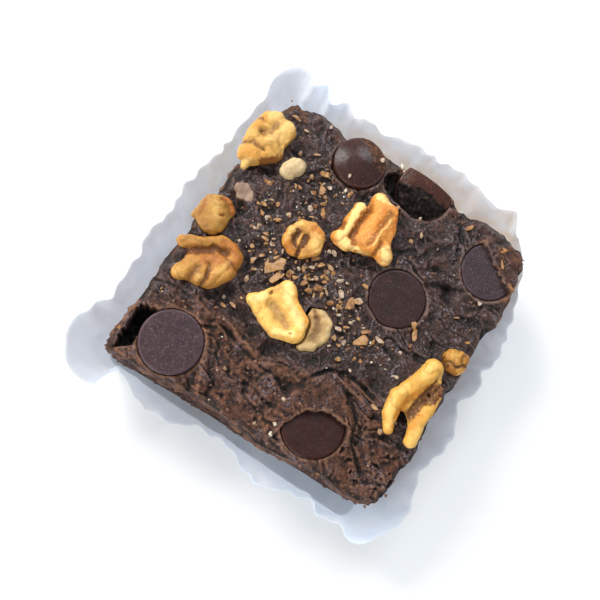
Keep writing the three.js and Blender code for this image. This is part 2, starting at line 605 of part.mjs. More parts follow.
const CASE_LENGTH = 4 * (CASE.halfX + CASE.halfY - 2 * CASE.corner) + 2 * Math.PI * CASE.corner;

// A value between the stations of a closed list, eased from one to the next.
function between(list, distance) {
  const last = list[list.length - 1];
  const stations = [[last[0] - CASE_LENGTH, last[1]], ...list, [CASE_LENGTH + list[0][0], list[0][1]]];
  const k = stations.findIndex(([d], m) => m > 0 && distance <= d);
  const [a, va] = stations[k - 1];
  const [b, vb] = stations[k];
  return THREE.MathUtils.lerp(va, vb, THREE.MathUtils.smoothstep(distance, a, b));
}

// How far the rim leans out of the base's outline.
function rimLean(distance) {
  const { from, to, pitch, size, peak } = PLEATS;
  const begun = THREE.MathUtils.smoothstep(distance, from, from + pitch / 2);
  const ended = THREE.MathUtils.smoothstep(distance, to - pitch / 4, to + pitch / 4);
  const pleat = begun * (1 - ended) * size * Math.cos((2 * Math.PI * (distance - peak)) / pitch);
  const wander = CRIMP.wander * noise(distance / CRIMP.over, 5, 8);
  const crimp = CRIMP.size * Math.sin((2 * Math.PI * distance) / CRIMP.pitch + wander);
  return between(RIM_LEAN, distance) + pleat + crimp;
}

// A point of the case's outer face: row 0 is the base's edge, the last row the rim.
function casePoint(distance, row) {
  const { point, direction } = caseOutline(distance);
  if (row === 0) return [point.x, point.y, 0];
  const up = (row - 1) / (CASE_ROWS - 1);
  const height = between(RIM_HEIGHT, distance) + RIM_WAVE.size * noise(distance / RIM_WAVE.over, 2, 9);
  const lean = CASE.bend * 0.5 + rimLean(distance) * up ** FLARE_POWER;
  const z = THREE.MathUtils.lerp(CASE.bend, height, up);
  return [point.x + direction.x * lean, point.y + direction.y * lean, z];
}

function paperCase() {
  const outer = [[0, 0, 0]];
  for (let row = 0; row <= CASE_ROWS; row++) {
    for (let c = 0; c < CASE_COLUMNS; c++) outer.push(casePoint((c / CASE_COLUMNS) * CASE_LENGTH, row));
  }
  const at = (row, c) => 1 + row * CASE_COLUMNS + (c % CASE_COLUMNS);
  const sheet = [];
  for (let c = 0; c < CASE_COLUMNS; c++) {
    sheet.push([0, at(0, c + 1), at(0, c)]);
    for (let row = 0; row < CASE_ROWS; row++) {
      const [a, b] = [at(row, c), at(row, c + 1)];
      const [d, e] = [at(row + 1, c), at(row + 1, c + 1)];
      sheet.push([a, b, e], [a, e, d]);
    }
  }
  const normals = meshOf(outer, sheet);
  normals.computeVertexNormals();
  const normal = normals.getAttribute("normal");
  const inner = outer.map(([x, y, z], k) => [
    x - PAPER * normal.getX(k),
    y - PAPER * normal.getY(k),
    k <= CASE_COLUMNS ? PAPER : z - PAPER * normal.getZ(k),
  ]);
  const n = outer.length;
  const triangles = [...sheet, ...sheet.map(([a, b, c]) => [a + n, c + n, b + n])];
  for (let c = 0; c < CASE_COLUMNS; c++) {
    const a = at(CASE_ROWS, c);
    const b = at(CASE_ROWS, c + 1);
    triangles.push([a, b, b + n], [a, b + n, a + n]);
  }
  return meshOf([...outer, ...inner], triangles);
}

// The largest body of a solid, without the scraps that a cut leaves.
const mainBody = (solid) => solid.decompose().reduce((a, b) => (b.volume() > a.volume() ? b : a));

// Assembly
addPiece("paper_case", paperCase(), 0xd4dee8, 0.7);

let brownie = brownieBlock();
FLAKES.forEach((flake, k) => {
  brownie = brownie.add(flakeSolid(flake, k));
});
brownie = brownie.subtract(cleft());
for (const place of HOLLOWS) brownie = brownie.subtract(hollow(place));

for (const [name, chip] of Object.entries(CHIPS)) {
  brownie = brownie.subtract(chipSolid(chip, GAP));
  addPiece(name, toGeometry(chipSolid(chip, 0)), chip.colour, 0.4);
}

let placed = null;
for (const [name, nut] of Object.entries(NUTS)) {
  const widest = Math.max(...nut.lobes.flat().map((blob) => blob[2]));
  const grown = nutSolid(nut, SOCKET, Math.min(SOCKET_CELL, SOCKET_DETAIL * widest));
  brownie = brownie.subtract(grown);
  const whole = nutSolid(nut, 0, NUT_CELL);
  const solid = placed ? whole.subtract(placed) : whole;
  placed = placed ? placed.add(grown) : grown;
  addPiece(name, toGeometry(mainBody(solid)), nut.colour, 0.5);
}
addPiece("brownie", toGeometry(mainBody(brownie)), 0x2c211e, 0.6);

export default group;
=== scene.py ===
"""A square chocolate brownie in its paper case: the detailed surfaces, materials, light and camera.

Sizes are in millimetres, +Z up, from the middle of the base of the case. The meshes are written in metres.
Front, right, back and left are the sides towards -Y, +X, +Y and -X.
"""

import math

import bmesh
import bpy
import numpy as np
from mathutils import Matrix, Vector


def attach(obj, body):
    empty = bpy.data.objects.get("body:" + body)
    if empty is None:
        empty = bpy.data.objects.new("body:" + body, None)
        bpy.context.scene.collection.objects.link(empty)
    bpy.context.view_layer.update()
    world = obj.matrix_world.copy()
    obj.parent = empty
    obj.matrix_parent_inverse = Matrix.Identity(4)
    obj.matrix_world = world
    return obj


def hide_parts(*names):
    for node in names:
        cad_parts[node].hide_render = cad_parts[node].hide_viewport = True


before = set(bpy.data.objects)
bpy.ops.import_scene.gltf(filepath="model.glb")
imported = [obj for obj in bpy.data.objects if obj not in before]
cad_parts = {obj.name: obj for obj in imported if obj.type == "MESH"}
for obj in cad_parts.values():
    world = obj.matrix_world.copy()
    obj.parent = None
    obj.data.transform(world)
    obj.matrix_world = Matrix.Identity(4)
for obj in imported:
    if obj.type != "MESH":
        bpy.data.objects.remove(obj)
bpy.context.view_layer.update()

MM = 0.001
TOP = 28.0
PAPER = 0.4
GAP = 0.3
BOTTOM = PAPER + GAP

# The camera: where it stands round the object, in degrees, its roll, and its focal length in pixels
CAMERA = {"azimuth": -8.0, "elevation": 75.0, "roll": 42.3, "distance": 170.0, "focal": 757.0,
          "target": (-4.4, -1.3, 16.0)}
FRAME_PIXELS = 600
SENSOR = 36.0

# Outline of the top: usual length of a side, half width, corners (front left, front right, back right, back
# left), and the bulges of each side (place along it, size, half width)
SIDE = 66
HALF_WIDTH = 34
CORNERS = np.array([[-32.9, -35.0], [31.6, -31.9], [33.0, 33.9], [-31.2, 33.9]])
SIDE_BUMPS = [
    [(22, -0.9, 8), (38, 0.9, 5), (53, -0.6, 3), (57.5, 0.6, 3)],
    [(11, 1.4, 8), (33, 0.5, 8), (52, 2.0, 7)],
    [(8.5, 2.8, 5.5), (29, 0.5, 6), (43, 0.9, 5), (49.5, -1.2, 3)],
    [(6, 1.1, 5), (22, 0.9, 5), (37, 0.7, 3), (45.5, 0.6, 3), (62, -0.5, 6)],
]
EDGE_DROP = 0.9
TAPER = 1.0

# Raised folds of the crust: rise, half width and line
FOLDS = [
    (1.1, 2.3, -26.6, -18.6, -21.9, -17.6, -13.8, -18.2, -5.1, -19.9, 3.3, -18.7, 10, -14.9),
    (1, 1.7, 4.4, -26.7, 8, -20.8, 15.6, -18.6, 18.4, -21.5),
    (0.7, 1.7, 5.1, 20.5, 11.6, 26.5, 17.5, 29.2),
    (0.7, 1.5, 9.2, 15.2, 15.2, 20.5, 19.5, 28.6),
    (0.8, 1.5, -15.9, -24.8, -12.2, -28.4, -10.8, -32.2),
    (1.3, 2.3, 23.9, 29.5, 28.9, 27.8, 32.4, 22.2),
    (0.8, 1.3, -32, -34, -31.6, -24.7),
]
# Sunk places: centre, depth, half width
DENTS = [
    ((17.8, -11.3), 1.6, 2.2), ((20.5, 16.4), 0.8, 2.6),
    ((-27, 5.2), 1.2, 2.4), ((-19, -12.6), 0.9, 3),
]

# Where the dry light-brown crust in front meets the dark glossy fudge behind it
BOUNDARY = (-32.1, -21.3, -26.9, -18.1, -22.1, -16.2, -17.4, -15.2, -11.1, -15.5, -4.5, -16.4, 1.5, -16.1,
            7.4, -14.3, 12.4, -12.5, 16.9, -11, 24, -15, 33, -20)

# Dry crumbly places inside the dark part: centre, half width, strength
CRUMBLY = [
    ((29.5, 29.5), 4.5, 0.9), ((33.5, 22), 3, 0.9), ((-27.5, 32), 4, 0.7), ((-7, 31.5), 2.5, 0.8),
    ((5, 26.9), 1.3, 0.7), ((14, 31.5), 2.2, 0.7), ((-28.5, -21.4), 2.2, 0.5), ((21.5, 31), 2, 0.5),
    ((30.5, -5), 2, 0.5), ((-32, 26), 2.5, 0.5), ((20.5, 16.5), 1.6, 0.4), ((30.5, -29.5), 4.5, 0.95),
]

# The open cleft in the front left corner, the undercut of the front side (x, depth below the top) and the
# hollow beside the broken drop
CLEFT = (-30.6, -34.1, -27.6, -31.6, -28, -28.5, -27.3, -23, -31, -23.8)
CLEFT_DEPTH = 5.6
UNDERCUT = {"at": (7, 5), "half": (9.5, 1.5), "depth": 2.2}
HOLLOW = {"at": (0.6, 29.4), "half": (5.2, 3.4), "margin": 0.4, "depth": 3.2}

# Wrinkles: rise, half width and line
WRINKLES = [
    (0.7, 0.9, -16.6, -21.7, -15.3, -25, -13.6, -28.2, -11.6, -32.1),
    (-0.6, 1.1, -15.1, -27.3, -14.1, -30.5, -13.8, -32.6),
    (-0.6, 0.5, -17.1, -18.8, -11.3, -18.8, -4.2, -19.8, 3.2, -22.1),
    (0.35, 0.7, -15.9, -17, -8.2, -18.3, -1, -19.6, 4.7, -19.1),
    (-0.45, 0.5, -7.4, -24.5, -2.3, -24.9, 3.7, -26.6, 7, -26.3),
    (-0.8, 0.6, 5.6, -16, 8.7, -13.2, 13, -12, 18.1, -12.1),
    (-0.55, 0.5, 15.2, -15.5, 18.5, -18.6, 20.4, -23.6, 24.3, -26.7),
    (0.4, 0.7, 17.2, -14.6, 21.2, -17.8, 23.3, -22.7, 27.4, -26.1),
    (0.45, 0.8, 12.7, 16.4, 16.8, 21, 22.4, 22.3),
    (-0.5, 0.5, 13.6, 11.6, 18, 16.4, 23.7, 18.3),
    (0.45, 0.7, 10.3, 19.6, 12, 22.8, 16.5, 26.1, 20.7, 27.1),
]

# Chocolate chips: middle, radius, rise and dome of the face, the line (direction, distance) where crust or
# crumb starts to cover them and its bend, tilt (direction, degrees), broken side, roughness and colour
CHIPS = {
    "disc_left": {"at": (-21.5, -26.8), "radius": 6.6, "rise": 1.3, "dome": 0, "tone": (60, 43, 47)},
    "disc_centre": {"at": (12.1, 7.7), "radius": 6.4, "rise": 0.8, "dome": 0, "tone": (43, 23, 21)},
    "disc_right": {"at": (26, 24.9), "radius": 6.4, "rise": 0.5, "dome": 0, "cover": (58, 2.3),
                   "tone": (54, 40, 43)},
    "disc_front": {"at": (11.4, -24.5), "radius": 6.8, "rise": 0.8, "dome": 0, "cover": (124, 3.3),
                   "bend": 0.07, "tilt": (-60, 7), "tone": (40, 11, 4)},
    "drop_back": {"at": (-10.8, 28.2), "radius": 5.8, "rise": 1.7, "dome": 1.6, "crumb": (62, 2.7),
                  "polish": (0.22, 0.34), "tone": (52, 30, 26)},
    "drop_hollow": {"at": (4.6, 31.5), "radius": 6.3, "rise": 0.9, "dome": 1.2, "cover": (89, 2.6),
                    "tilt": (100, 14), "broken": (-85, 0.1), "polish": (0.2, 0.3), "tone": (62, 34, 25)},
}
POLISH = (0.36, 0.52)
CHIP_DEPTH = 3.2
CHIP_SIDES = 120
CHIP_RIM = 0.5

# Nuts: middle, rise over the crust, squash from above, lobes as rows of round blobs (x, y, radius), the web
# between the lobes (half its thickness, then its outline), flat facets, and colours (flesh, pale, amber and
# brown). Then come the marks, each a half width and a line. Creases also have depths.
NUTS = {
    "walnut_corner": {"at": (-30.5, 19.5), "rise": 1.4, "flat": 0.95,
        "lobes": [(-1.9, 5.1, 1.5, -0.6, 6.6, 1.5), (1.7, 3.6, 2.3, 2.9, 5, 2.3),
            (-1.1, -1.1, 2.8, 1.4, 0.1, 2.8), (-1.3, -4.1, 2.1, -0.1, -4, 2.1, -0.1, -7, 1),
            (1.4, -2.8, 1.9, 3.9, -0.9, 1.7), (-2.7, 1.7, 1.4, -2.5, 3.3, 1.4)],
        "web": (1.3, -2.4, 5.4, -0.4, 6.2, 2.6, 5.9, 3.8, 3.1, 3.4, -1.2, 0.4, -4.6, -1.6, -4.8, -2.5,
            -1.6, -2.8, 1.9),
        "tones": ((204, 155, 77), (216, 174, 100), (195, 139, 60), (132, 81, 34)),
        "pale": [(1.9, 2.7, 3, 2.6, 6.2), (1.3, -1.6, 5.6, -0.8, 6.8), (1, 0.1, -7.6, 0, -6.2),
            (1.2, 0.8, 0.4, 1.6, 2.2)],
        "amber": [(2, -1.4, -4.4, 1.6, -3.4), (1.1, -3, 1, -2.6, 3.6)],
        "brown": [(0.9, 2.6, -4.4, 4.4, -2.6, 5.4, -0.6), (0.45, -3.2, 3.5, -3, 3.3)],
        "crease": [(0.5, -3.2, -3, -1.4, -2.1, 1.4, -2.2), (1.1, -0.8, 1.4, -0.5, 1.2),
            (0.8, 0.6, 2, 0.2, 4.6)],
        "depths": (0.4, 0.6, 0.3)},
    "walnut_round": {"at": (-30, 0.3), "rise": 0.9, "flat": 0.95,
        "lobes": [(-0.3, 0.6, 3.5, 0.9, -1.5, 3.4), (1.4, 3.2, 1.1, 3, 2, 1.1),
            (-2.1, -1.8, 1.3, -2.9, -2.9, 0.8)],
        "tones": ((180, 131, 57), (188, 145, 74), (157, 113, 52), (164, 92, 26)),
        "pale": [(1.3, 0.1, 0.7, 1.6, -1.8)],
        "amber": [(1.3, -2.6, 1.6, -2.4, -1, -0.8, -3.2, 1, -4.4), (1, -2.6, -2.6, -2.2, -2.2)],
        "brown": [(0.8, 0.6, 3.6, 2.2, 3.2, 3.4, 2.2), (0.3, 2, -0.5, 2.1, -0.3),
            (0.25, 1.3, 0.6, 1.35, 0.8)],
        "crease": [(0.4, 0.4, 2.8, 1.8, 2.4, 2.9, 1.4), (0.3, 2, -0.5, 2.1, -0.3),
            (0.6, -2.8, 0.9, -1.9, -2.4)],
        "depths": (0.4, 0.4, 0.2)},
    "walnut_wings": {"at": (-24.5, -8.5), "rise": 1.2, "flat": 0.95,
        "lobes": [
            (-7.3, 0.1, 1.3, -4, 1.8, 1.4, -0.6, 4.6, 1.4, 2.1, 4.9, 1.4, 4.2, 3.5, 1.5, 4, 1.5, 1.6),
            (-3.9, -5.7, 1.9, -2.1, -3.7, 1.6), (0.3, -4.4, 1.8, 0.2, -2.6, 1.8),
            (2.5, -3.2, 1.9, 3.6, -0.2, 2.1, 0.9, 0.1, 1.6)],
        "web": (1, -6.6, 0, -3.3, 1.8, -0.6, 4, 3.6, 3.4, 4, -1, 1.8, -4.4, -3.6, -5.8, -4.5, -1.1),
        "tones": ((179, 124, 51), (193, 145, 72), (164, 99, 32), (117, 65, 21)),
        "pale": [(1.2, 2.6, -1.6, 3.2, -0.6), (1.2, -4.2, -6, -3.6, -5.6), (0.9, -0.2, -4.6, 0.2, -4.2)],
        "amber": [(1.1, -0.2, 4.2, 2.4, 4.6, 4.4, 3.2, 4.6, 1), (1.6, -1, -0.6, 1, 0.6)],
        "brown": [(1, -5.2, -1.6, -3, 0.2, -0.4, 2.4, 1.8, 2.9), (0.5, 1.4, -4.8, 1.1, -2.4)],
        "crease": [(0.7, -5.6, -1.2, -3, 0.3, -0.4, 2.6, 2, 3), (0.6, 1.5, -5.4, 1.1, -2.4, 0.2, -1.2),
            (0.7, -1.5, -5.6, -1.2, -2.6), (0.5, 2.4, 1.6, 5.4, 1.2)],
        "depths": (0.8, 0.5, 0.4, 0.25)},
    "walnut_curl": {"at": (-11.7, 6.6), "rise": 1.3, "flat": 1,
        "lobes": [
            (2.5, 2.3, 1.2, 0.7, 3, 1.3, -1.4, 2.1, 1.3, -2.7, -0.3, 1.3, -2, -2.9, 1.3, -0.6, -3.5, 1.1),
            (2.6, 1.1, 1.7, 3.1, -0.6, 1.8, 1.7, -2.5, 1.2)],
        "web": (0.8, -2.6, -1.9, -2.6, 0.3, -1.4, 2.1, 0.7, 2.9, 3, 1.6, 3.4, -0.6, 1.3, -3.3, -1, -3.3),
        "tones": ((205, 148, 70), (216, 169, 94), (179, 111, 36), (98, 54, 20)),
        "pale": [(1.3, 2.9, 0.6, 3.4, -0.6), (0.8, -1.8, 1.8, -2.8, -0.6)],
        "amber": [(0.9, 1, 2.6, 2.6, 2.6), (1.1, -1.6, -3.4, -0.4, -3.8)],
        "brown": [(0.8, -1.4, 0.4, -1.3, -1.4, -0.4, -2.4), (0.6, 0.4, 1, 0.9, -1.2, 1, -3.4)],
        "crease": [(0.45, 0.2, 0.9, 0.7, -0.6, 1, -3.8), (0.7, -1.3, 0.2, -1.2, -2.2)],
        "depths": (0.5, 0.4)},
    "walnut_large": {"at": (-1.1, 15.5), "rise": 1.8, "flat": 1,
        "lobes": [(-4, 3.2, 1.8, -4, 0.6, 1.8, -4.2, -2.1, 1.6, -4.5, -4.6, 1.8, -2.4, -4.7, 1.3),
            (-1.2, 7.4, 2.2, 0.7, 3.7, 3.1, 1.9, -0.4, 2.5), (2, 6.4, 1.8, 3.2, 3.2, 1.8),
            (4.9, -1.6, 2, 6, -2.4, 2.1), (-2.2, -4.6, 1.2, 1, -3.2, 1.3, 3.4, -2, 1.3)],
        "web": (1.1, -3.8, 3.2, -1.6, 3.4, -1.4, 7, 2.2, 6.4, 3.8, 3.2, 4.6, -1.2, 1.5, -3.7, -4.4, -4.8),
        "tones": ((218, 141, 58), (238, 198, 124), (198, 115, 36), (152, 87, 24)),
        "pale": [(1.35, -4.4, 3.9, -4.3, 0.4, -3.9, -2.4, -4.4, -4.8, -2.6, -5.2),
            (1.8, 5.4, -1.8, 6.2, -2.6), (1.2, -2.2, 7.8, 0.4, 8.4), (0.5, -1, -5.2, 2.6, -4.4)],
        "amber": [(0.7, 0.2, 5.6, 1.2, 2, 1.6, -1.6), (0.9, 3.6, 6.6, 4.2, 3.4),
            (0.9, -5.6, -1.2, -5.4, -3)],
        "brown": [(0.8, -2.6, 4.6, -2.4, 1, -2.4, -2.4, -1.4, -4.2)],
        "crease": [(0.8, -2.4, 5, -2.3, 1, -2.4, -3.4), (0.5, 3.5, -0.6, 3.7, -3.6),
            (0.6, 1.9, 6.2, 1.4, 2, 1.4, -2.4), (0.7, -5.4, -1.6, -5.2, -3)],
        "depths": (0.8, 0.6, 0.2, 0.7),
        "vein": [(0.2, 2.4, 4.6, 2.4, 1.6, 2.2, -2.4)]},
    "walnut_kite": {"at": (-6.8, -8.9), "rise": 1.4, "flat": 0.9,
        "lobes": [(-1.4, 4.6, 1.6, 0.8, 1.8, 1.9, 4.4, 0.4, 1.8, 5.1, -2, 1.7),
            (-6.6, -1.6, 0.9, -2.4, -3.7, 1.1, 1, -4.5, 1.3, 4.6, -3, 1.5),
            (-6.6, -1.6, 0.9, -4, 1.6, 1.1, -1.6, 4.4, 1.4)],
        "web": (1.3, -6, -1.5, -3.9, 1.4, -1.5, 4.6, 1.6, 2.2, 5, 0.6, 5.2, -2.4, 1.1, -4.2, -2.8, -3.2),
        "tones": ((237, 184, 92), (242, 203, 128), (229, 160, 66), (202, 155, 86)),
        "pale": [(1, -1.8, 5.1, 0, 2.4, 2.2, 1, 5, -0.8), (0.9, -6.4, -1.8, -4.6, 0.4),
            (0.9, 1, -4.4, 4.4, -3.2)],
        "amber": [(0.8, 0.6, 5, 1.9, 3.5, 4.4, 2.2, 6.6, 0.6)],
        "brown": [(1.1, -1.8, -0.4, 0.4, -1.2, 1.9, -1.9), (0.8, -3.6, 2.4, -3, 3.4),
            (0.5, -6.6, -2.8, -2.9, -4.8, 0.9, -5.9)],
        "crease": [(1.3, -2.2, -0.3, 0.4, -1.2, 2.4, -2), (0.35, -3.5, 1.6, -3.4, 1.8),
            (0.3, 4.2, -3.4, 4.3, -3.3)],
        "depths": (0.8, 0.6, 0.5)},
    "walnut_slice": {"at": (1.4, -8.4), "rise": 0.4, "flat": 0.7,
        "lobes": [(-0.8, 3.6, 1.2, 1.4, 2.6, 1.2, 1.9, 0, 1.2, 1, -2.6, 1.2, -0.9, -4, 1.2),
            (0.2, 0.6, 1.9, 0, -1.6, 1.9)],
        "web": (0.8, -3.2, 3.2, -0.9, 4, 1.2, 2.8, 1.8, 0, 0.8, -2.6, -1, -3.8, -2.6, -3),
        "tones": ((184, 148, 94), (194, 165, 115), (166, 120, 61), (128, 90, 48)),
        "pale": [(0.7, -1.4, 4.4, 1.6, 3.4, 2.6, 0.4, 1.8, -2.6, -0.6, -4.6)],
        "amber": [(0.8, -1.6, 3, -0.6, 1.6)],
        "brown": [(0.6, -2.4, 3.4, -1, 2.2, -0.6, 0)],
        "crease": [(1, -1.2, 2.4, 0.4, 0.6, 0.2, -1.8)],
        "depths": (0.5,)},
    "walnut_long": {"at": (26.8, -9.2), "rise": 1.9, "flat": 1,
        "lobes": [
            (-2.3, -7.7, 1.4, -3.7, -4.7, 1.9, -4.2, -1, 2.2, -2.7, 2.4, 2, -1.4, 5.5, 2.3, -0.8, 8.3, 2.3),
            (2.9, -7.1, 1.8, 2.6, -4.8, 1.7, 2.5, -2.1, 1.5, 2.9, 0.2, 1.2)],
        "web": (0.9, -1.4, -2.1, -1.6, 0.2, -0.8, 3, 0, 5.4, 1.2, 7, 3, 5.4, 3.4, 3.5, 3, 1.2, 2.2, -2.1,
            0.6, -3.6),
        "tones": ((213, 159, 70), (221, 175, 92), (204, 133, 43), (104, 60, 22)),
        "pale": [(0.9, -2.9, -7.2, -4.4, -4.2, -4.9, -1.2, -3.9, 1.6), (1.1, 3.2, -7.9, 3, -4.6),
            (1, -1.9, 5.6, -1.4, 8.4)],
        "amber": [(0.8, -1.2, -7.4, -2.2, -4.4, -2.3, -1, -1.2, 2, 0.4, 4.6), (0.6, 1.4, -4.6, 1.6, -1.6)],
        "brown": [(1.5, 0, -2.4, 0.2, 0.2, 0.9, 3, 2, 5), (1.3, 2.4, 2.4, 3.4, 5.4)],
        "crease": [(0.9, 0, -3.4, 0.2, 0.2, 1, 3.4), (0.3, 0.6, 4.4, 1.2, 6.6), (0.25, 1.8, 3.6, 2.6, 6.2),
            (0.3, 1, 1.6, 2.2, 1.2), (0.2, 0.9, 3.2, 2.2, 3, 3.2, 2.4),
            (0.2, 1.3, 4.6, 2.6, 4.4, 3.4, 3.8)],
        "depths": (0.6, 0.5, 0.4, 0.3, 0.3, 0.3)},
    "walnut_bulb": {"at": (29.9, 3.1), "rise": 0.9, "flat": 0.95,
        "lobes": [(-1.5, 0.4, 2.1, -0.8, 0.3, 2.1), (0.6, 1.5, 1.9, 0.9, 0.1, 1.6),
            (-0.6, -1.2, 1.5, 0.6, -1.2, 1.3)],
        "tones": ((185, 129, 48), (200, 151, 69), (157, 99, 31), (97, 56, 19)),
        "pale": [(0.9, -1.2, 1.2, -1.6, 0.4), (0.35, 1.6, -1.8, 2.4, -0.4)],
        "amber": [(1, 1.6, 2.2, 2.4, 0.8), (0.9, -1, -2, 1, -2)],
        "brown": [(0.6, -3.4, -0.6, -1.6, -2), (0.3, -0.2, -0.9, 0.6, -0.2, 1.2, 0.4)],
        "crease": [(0.45, -2.4, -1, 0.2, -0.8, 1.6, 0.2), (0.5, 0.4, 2.6, 0.4, 0.6)],
        "depths": (0.35, 0.25)},
    "nut_pale": {"at": (-21.9, 18.5), "rise": 0.8, "flat": 0.9,
        "lobes": [(-0.4, -0.8, 2.3, 0.4, 0.8, 2.4)],
        "tones": ((205, 180, 135), (219, 203, 178), (193, 157, 101), (171, 131, 83))},
    "nut_grey": {"at": (-27.4, 7.6), "rise": 0.3, "flat": 0.85, "snug": 0.35,
        "lobes": [(-1.1, 1, 1.9, 1.1, 0.1, 2, 0, -0.8, 1.6)],
        "facets": [(0.1, -0.14, 0.98, 0.75), (0.85, 0.5, 0.1, 2.4), (-0.6, 0.78, 0.1, 2.35),
            (0.3, -0.95, 0.1, 1.4), (-0.98, -0.1, 0.1, 2.3)],
        "tones": ((156, 128, 107), (182, 155, 134), (134, 104, 84), (108, 78, 58))},
}
NUT_BLEND = 0.7
NUT_SHRINK = 0.4
WEB_EDGE = 0.8
NUT_REACH = 12
NUT_MARGIN = 1.2
NUT_SWELL = 0.03
NUT_APART = 0.5
NUT_KINDS = ("pale", "amber", "brown", "vein", "crease")
NUT_STEP = 0.2
HIGHEST = 32.85

# Husk and nut flakes: x, y, length, and colour from golden brown (0) to pinkish white (1). The first ones
# are also on the solid.
FLAKES = [
    (-13.8, -1.7, 6.5, 0.5), (10.3, -4.7, 4.6, 0.35), (13.4, -2.3, 2.6, 0.7), (-14.1, 18.3, 3.8, 0.4),
    (-15.5, 21.9, 3.2, 0.3), (-24.6, 12.8, 3, 0.1), (4.4, 0.9, 4.6, 0.2), (19.2, 3.4, 3.6, 0.4),
    (-5.2, 4.2, 2.8, 0.3), (-11.2, 14, 3.6, 0.15), (17.2, 30.8, 3, 0.05), (9.2, 22.6, 2.4, 0.6),
    (-17.6, -3.2, 2.4, 0.5), (-16.6, -7.1, 2.2, 0.7), (-22.5, 8.1, 2.2, 0.5), (-21.8, 2.5, 2.4, 0.8),
    (20.2, -14.6, 2.2, 0.5), (-27.6, 28.8, 2.6, 0.6), (1.4, 24.6, 2.2, 0.5), (-19.4, 24.6, 2.4, 0.4),
    (-14.9, 0.7, 2, 0.2), (-20.7, 3.7, 1.5, 0.9), (-18, 7.1, 1.5, 0.4), (-18.5, 2.9, 1.7, 0.3),
    (-20.2, 6.3, 1.2, 0.9), (-6.9, 4.6, 2.4, 0.1), (-3.4, 4.7, 1.9, 0.5), (-6.5, 2.6, 1.6, 0.8),
    (-3.1, -0.3, 2.3, 0), (-4.5, -1.8, 2.1, 0.1), (-6.2, -1.4, 2, 0), (1.6, 1.3, 2.8, 0.8),
    (5.3, 2.1, 2.2, 0.7), (4.9, 5.7, 1.8, 0.3), (5.2, -5.1, 2, 0.7), (5.4, -7.2, 1.8, 0.4),
    (6.9, -8, 1.4, 0.2), (10.2, -2.4, 2.4, 0.05), (-4.4, 8, 1.8, 0.95), (-8.6, 21, 1.8, 0.3),
    (-24.3, 27.6, 1.8, 0.8), (7.1, 25.5, 1.9, 0.75), (26.2, 30.8, 2.6, 0.1), (31.6, 24.3, 2.6, 0.1),
    (27.5, 27.4, 2.4, 0.3), (-17.3, -14.5, 1.9, 0.25), (-15.6, -13.3, 1.7, 0.6), (18.1, 5, 1.8, 0.4),
    (-11, 23.8, 1.6, 0.9), (0.8, -1.4, 1.8, 0.1), (8.4, -10.4, 1.6, 0.4), (-9.8, -1.6, 1.9, 0.1),
    (-11.4, -3.3, 3.7, 0.45), (-20.3, 31.8, 1.4, 0.9), (20.4, -7.1, 2.1, 0.9), (-22.6, 22.8, 1.4, 0.5),
    (-4.1, 18.4, 1.2, 0.7), (6.3, -3.9, 1.9, 0.5), (-1.5, 33, 2.2, 1), (-7, 31.2, 1.9, 1),
]
ON_SOLID = 20
FLAKE_CORNERS = 6
CLEAR = 0.5
FLAKE = {"rings": 6, "around": 28, "thick": 0.3}
BIT = {"rings": 2, "around": 12, "thick": 0.22}
HUSK_TONES = [(118, 72, 36), (174, 126, 68), (150, 118, 88), (186, 167, 148)]
CRUMB_TONES = [(48, 31, 26), (80, 54, 42), (120, 86, 66)]
SEED_TONES = [(176, 156, 132), (228, 218, 200)]

# The band where most husk lies, and the places of the larger seeds
BAND = (-13, 27, -13, 18, -20, 8, -17, 0, -7, 2, 2, 0, 7, -5, 13, -4)
SEEDS = (3.5, -23.7, 4.8, -28.7, 5.2, -30.8, 17.9, -24.1, 6.6, -2.5, -8.8, 0.9, -5.5, 7.6, -2.6, 33.6, 1.8,
         1.3, -20.4, 6, -9.9, 21.4, -2.4, 20.2, 20.7, -6.7)

# The paper case
CASE = {"half_x": 34.0, "half_y": 35.1, "corner": 3.0, "bend": 0.9}
FLARE_POWER = 1.4
RIM_LEAN = (
    0, 8, 3, 7.4, 5, 1, 7.5, 2.4, 14, 5.2, 21, 4.6, 25.5, 2.1, 31, 1.9, 43.5, 5, 51.5, 2.3, 55.2, 1.2, 57.6,
    3.8, 62, 2.4, 67, 4.6, 72, 6.5, 82.5, 4.6, 91, 6.5, 101.4, 4.6, 105, 6.5, 109.5, 5.1, 113, 6.8, 123,
    5.4, 130, 3.6, 135, 1.6, 139, 4.5, 144, 8.6, 148, 6.6, 158, 8.6, 168, 6.9, 182, 4.6, 190, 4, 198, 5.4,
    201, 7.6, 204.5, 3.2, 217, 4.2, 234, 6.1, 240, 5.4, 245, 6.3, 251, 4.9, 261, 4.3, 266, 6.7,
)
RIM_HEIGHT = (
    0, 17, 6, 18.5, 30, 17.5, 56, 17, 70, 18, 100, 18.5, 131, 18, 136, 19, 144, 23, 170, 25, 196, 25.5, 203,
    22, 215, 18.5, 250, 18,
)
PLEATS = {"from": 183, "to": 200, "pitch": 6.2, "size": 1.2, "peak": 189.3}
CRIMP = {"pitch": 4.6, "size": 0.28}
PAPER_COLUMNS = 552
PAPER_ROWS = 22
PAPER_THICKNESS = 0.22
# How strongly the paper glows in its own colour: painted light that stands in for light scattered through
# it
PAPER_GLOW = 0.32


# Repeatable noise

def hashed(i, j, seed):
    """A whole-number hash, spread over -1 to 1."""
    def word(value):
        return (np.asarray(value).astype(np.int64) & 0xFFFFFFFF).astype(np.uint64)

    def times(value, factor):
        return (value * np.uint64(factor)) & np.uint64(0xFFFFFFFF)

    h = times(word(i), 374761393) ^ times(word(j), 668265263) ^ times(word(seed), 1274126177)
    h = times(h ^ (h >> np.uint64(13)), 1274126177)
    h = h ^ (h >> np.uint64(16))
    return h.astype(np.float64) / 4294967295 * 2 - 1


def ease(t):
    return t * t * (3 - 2 * t)


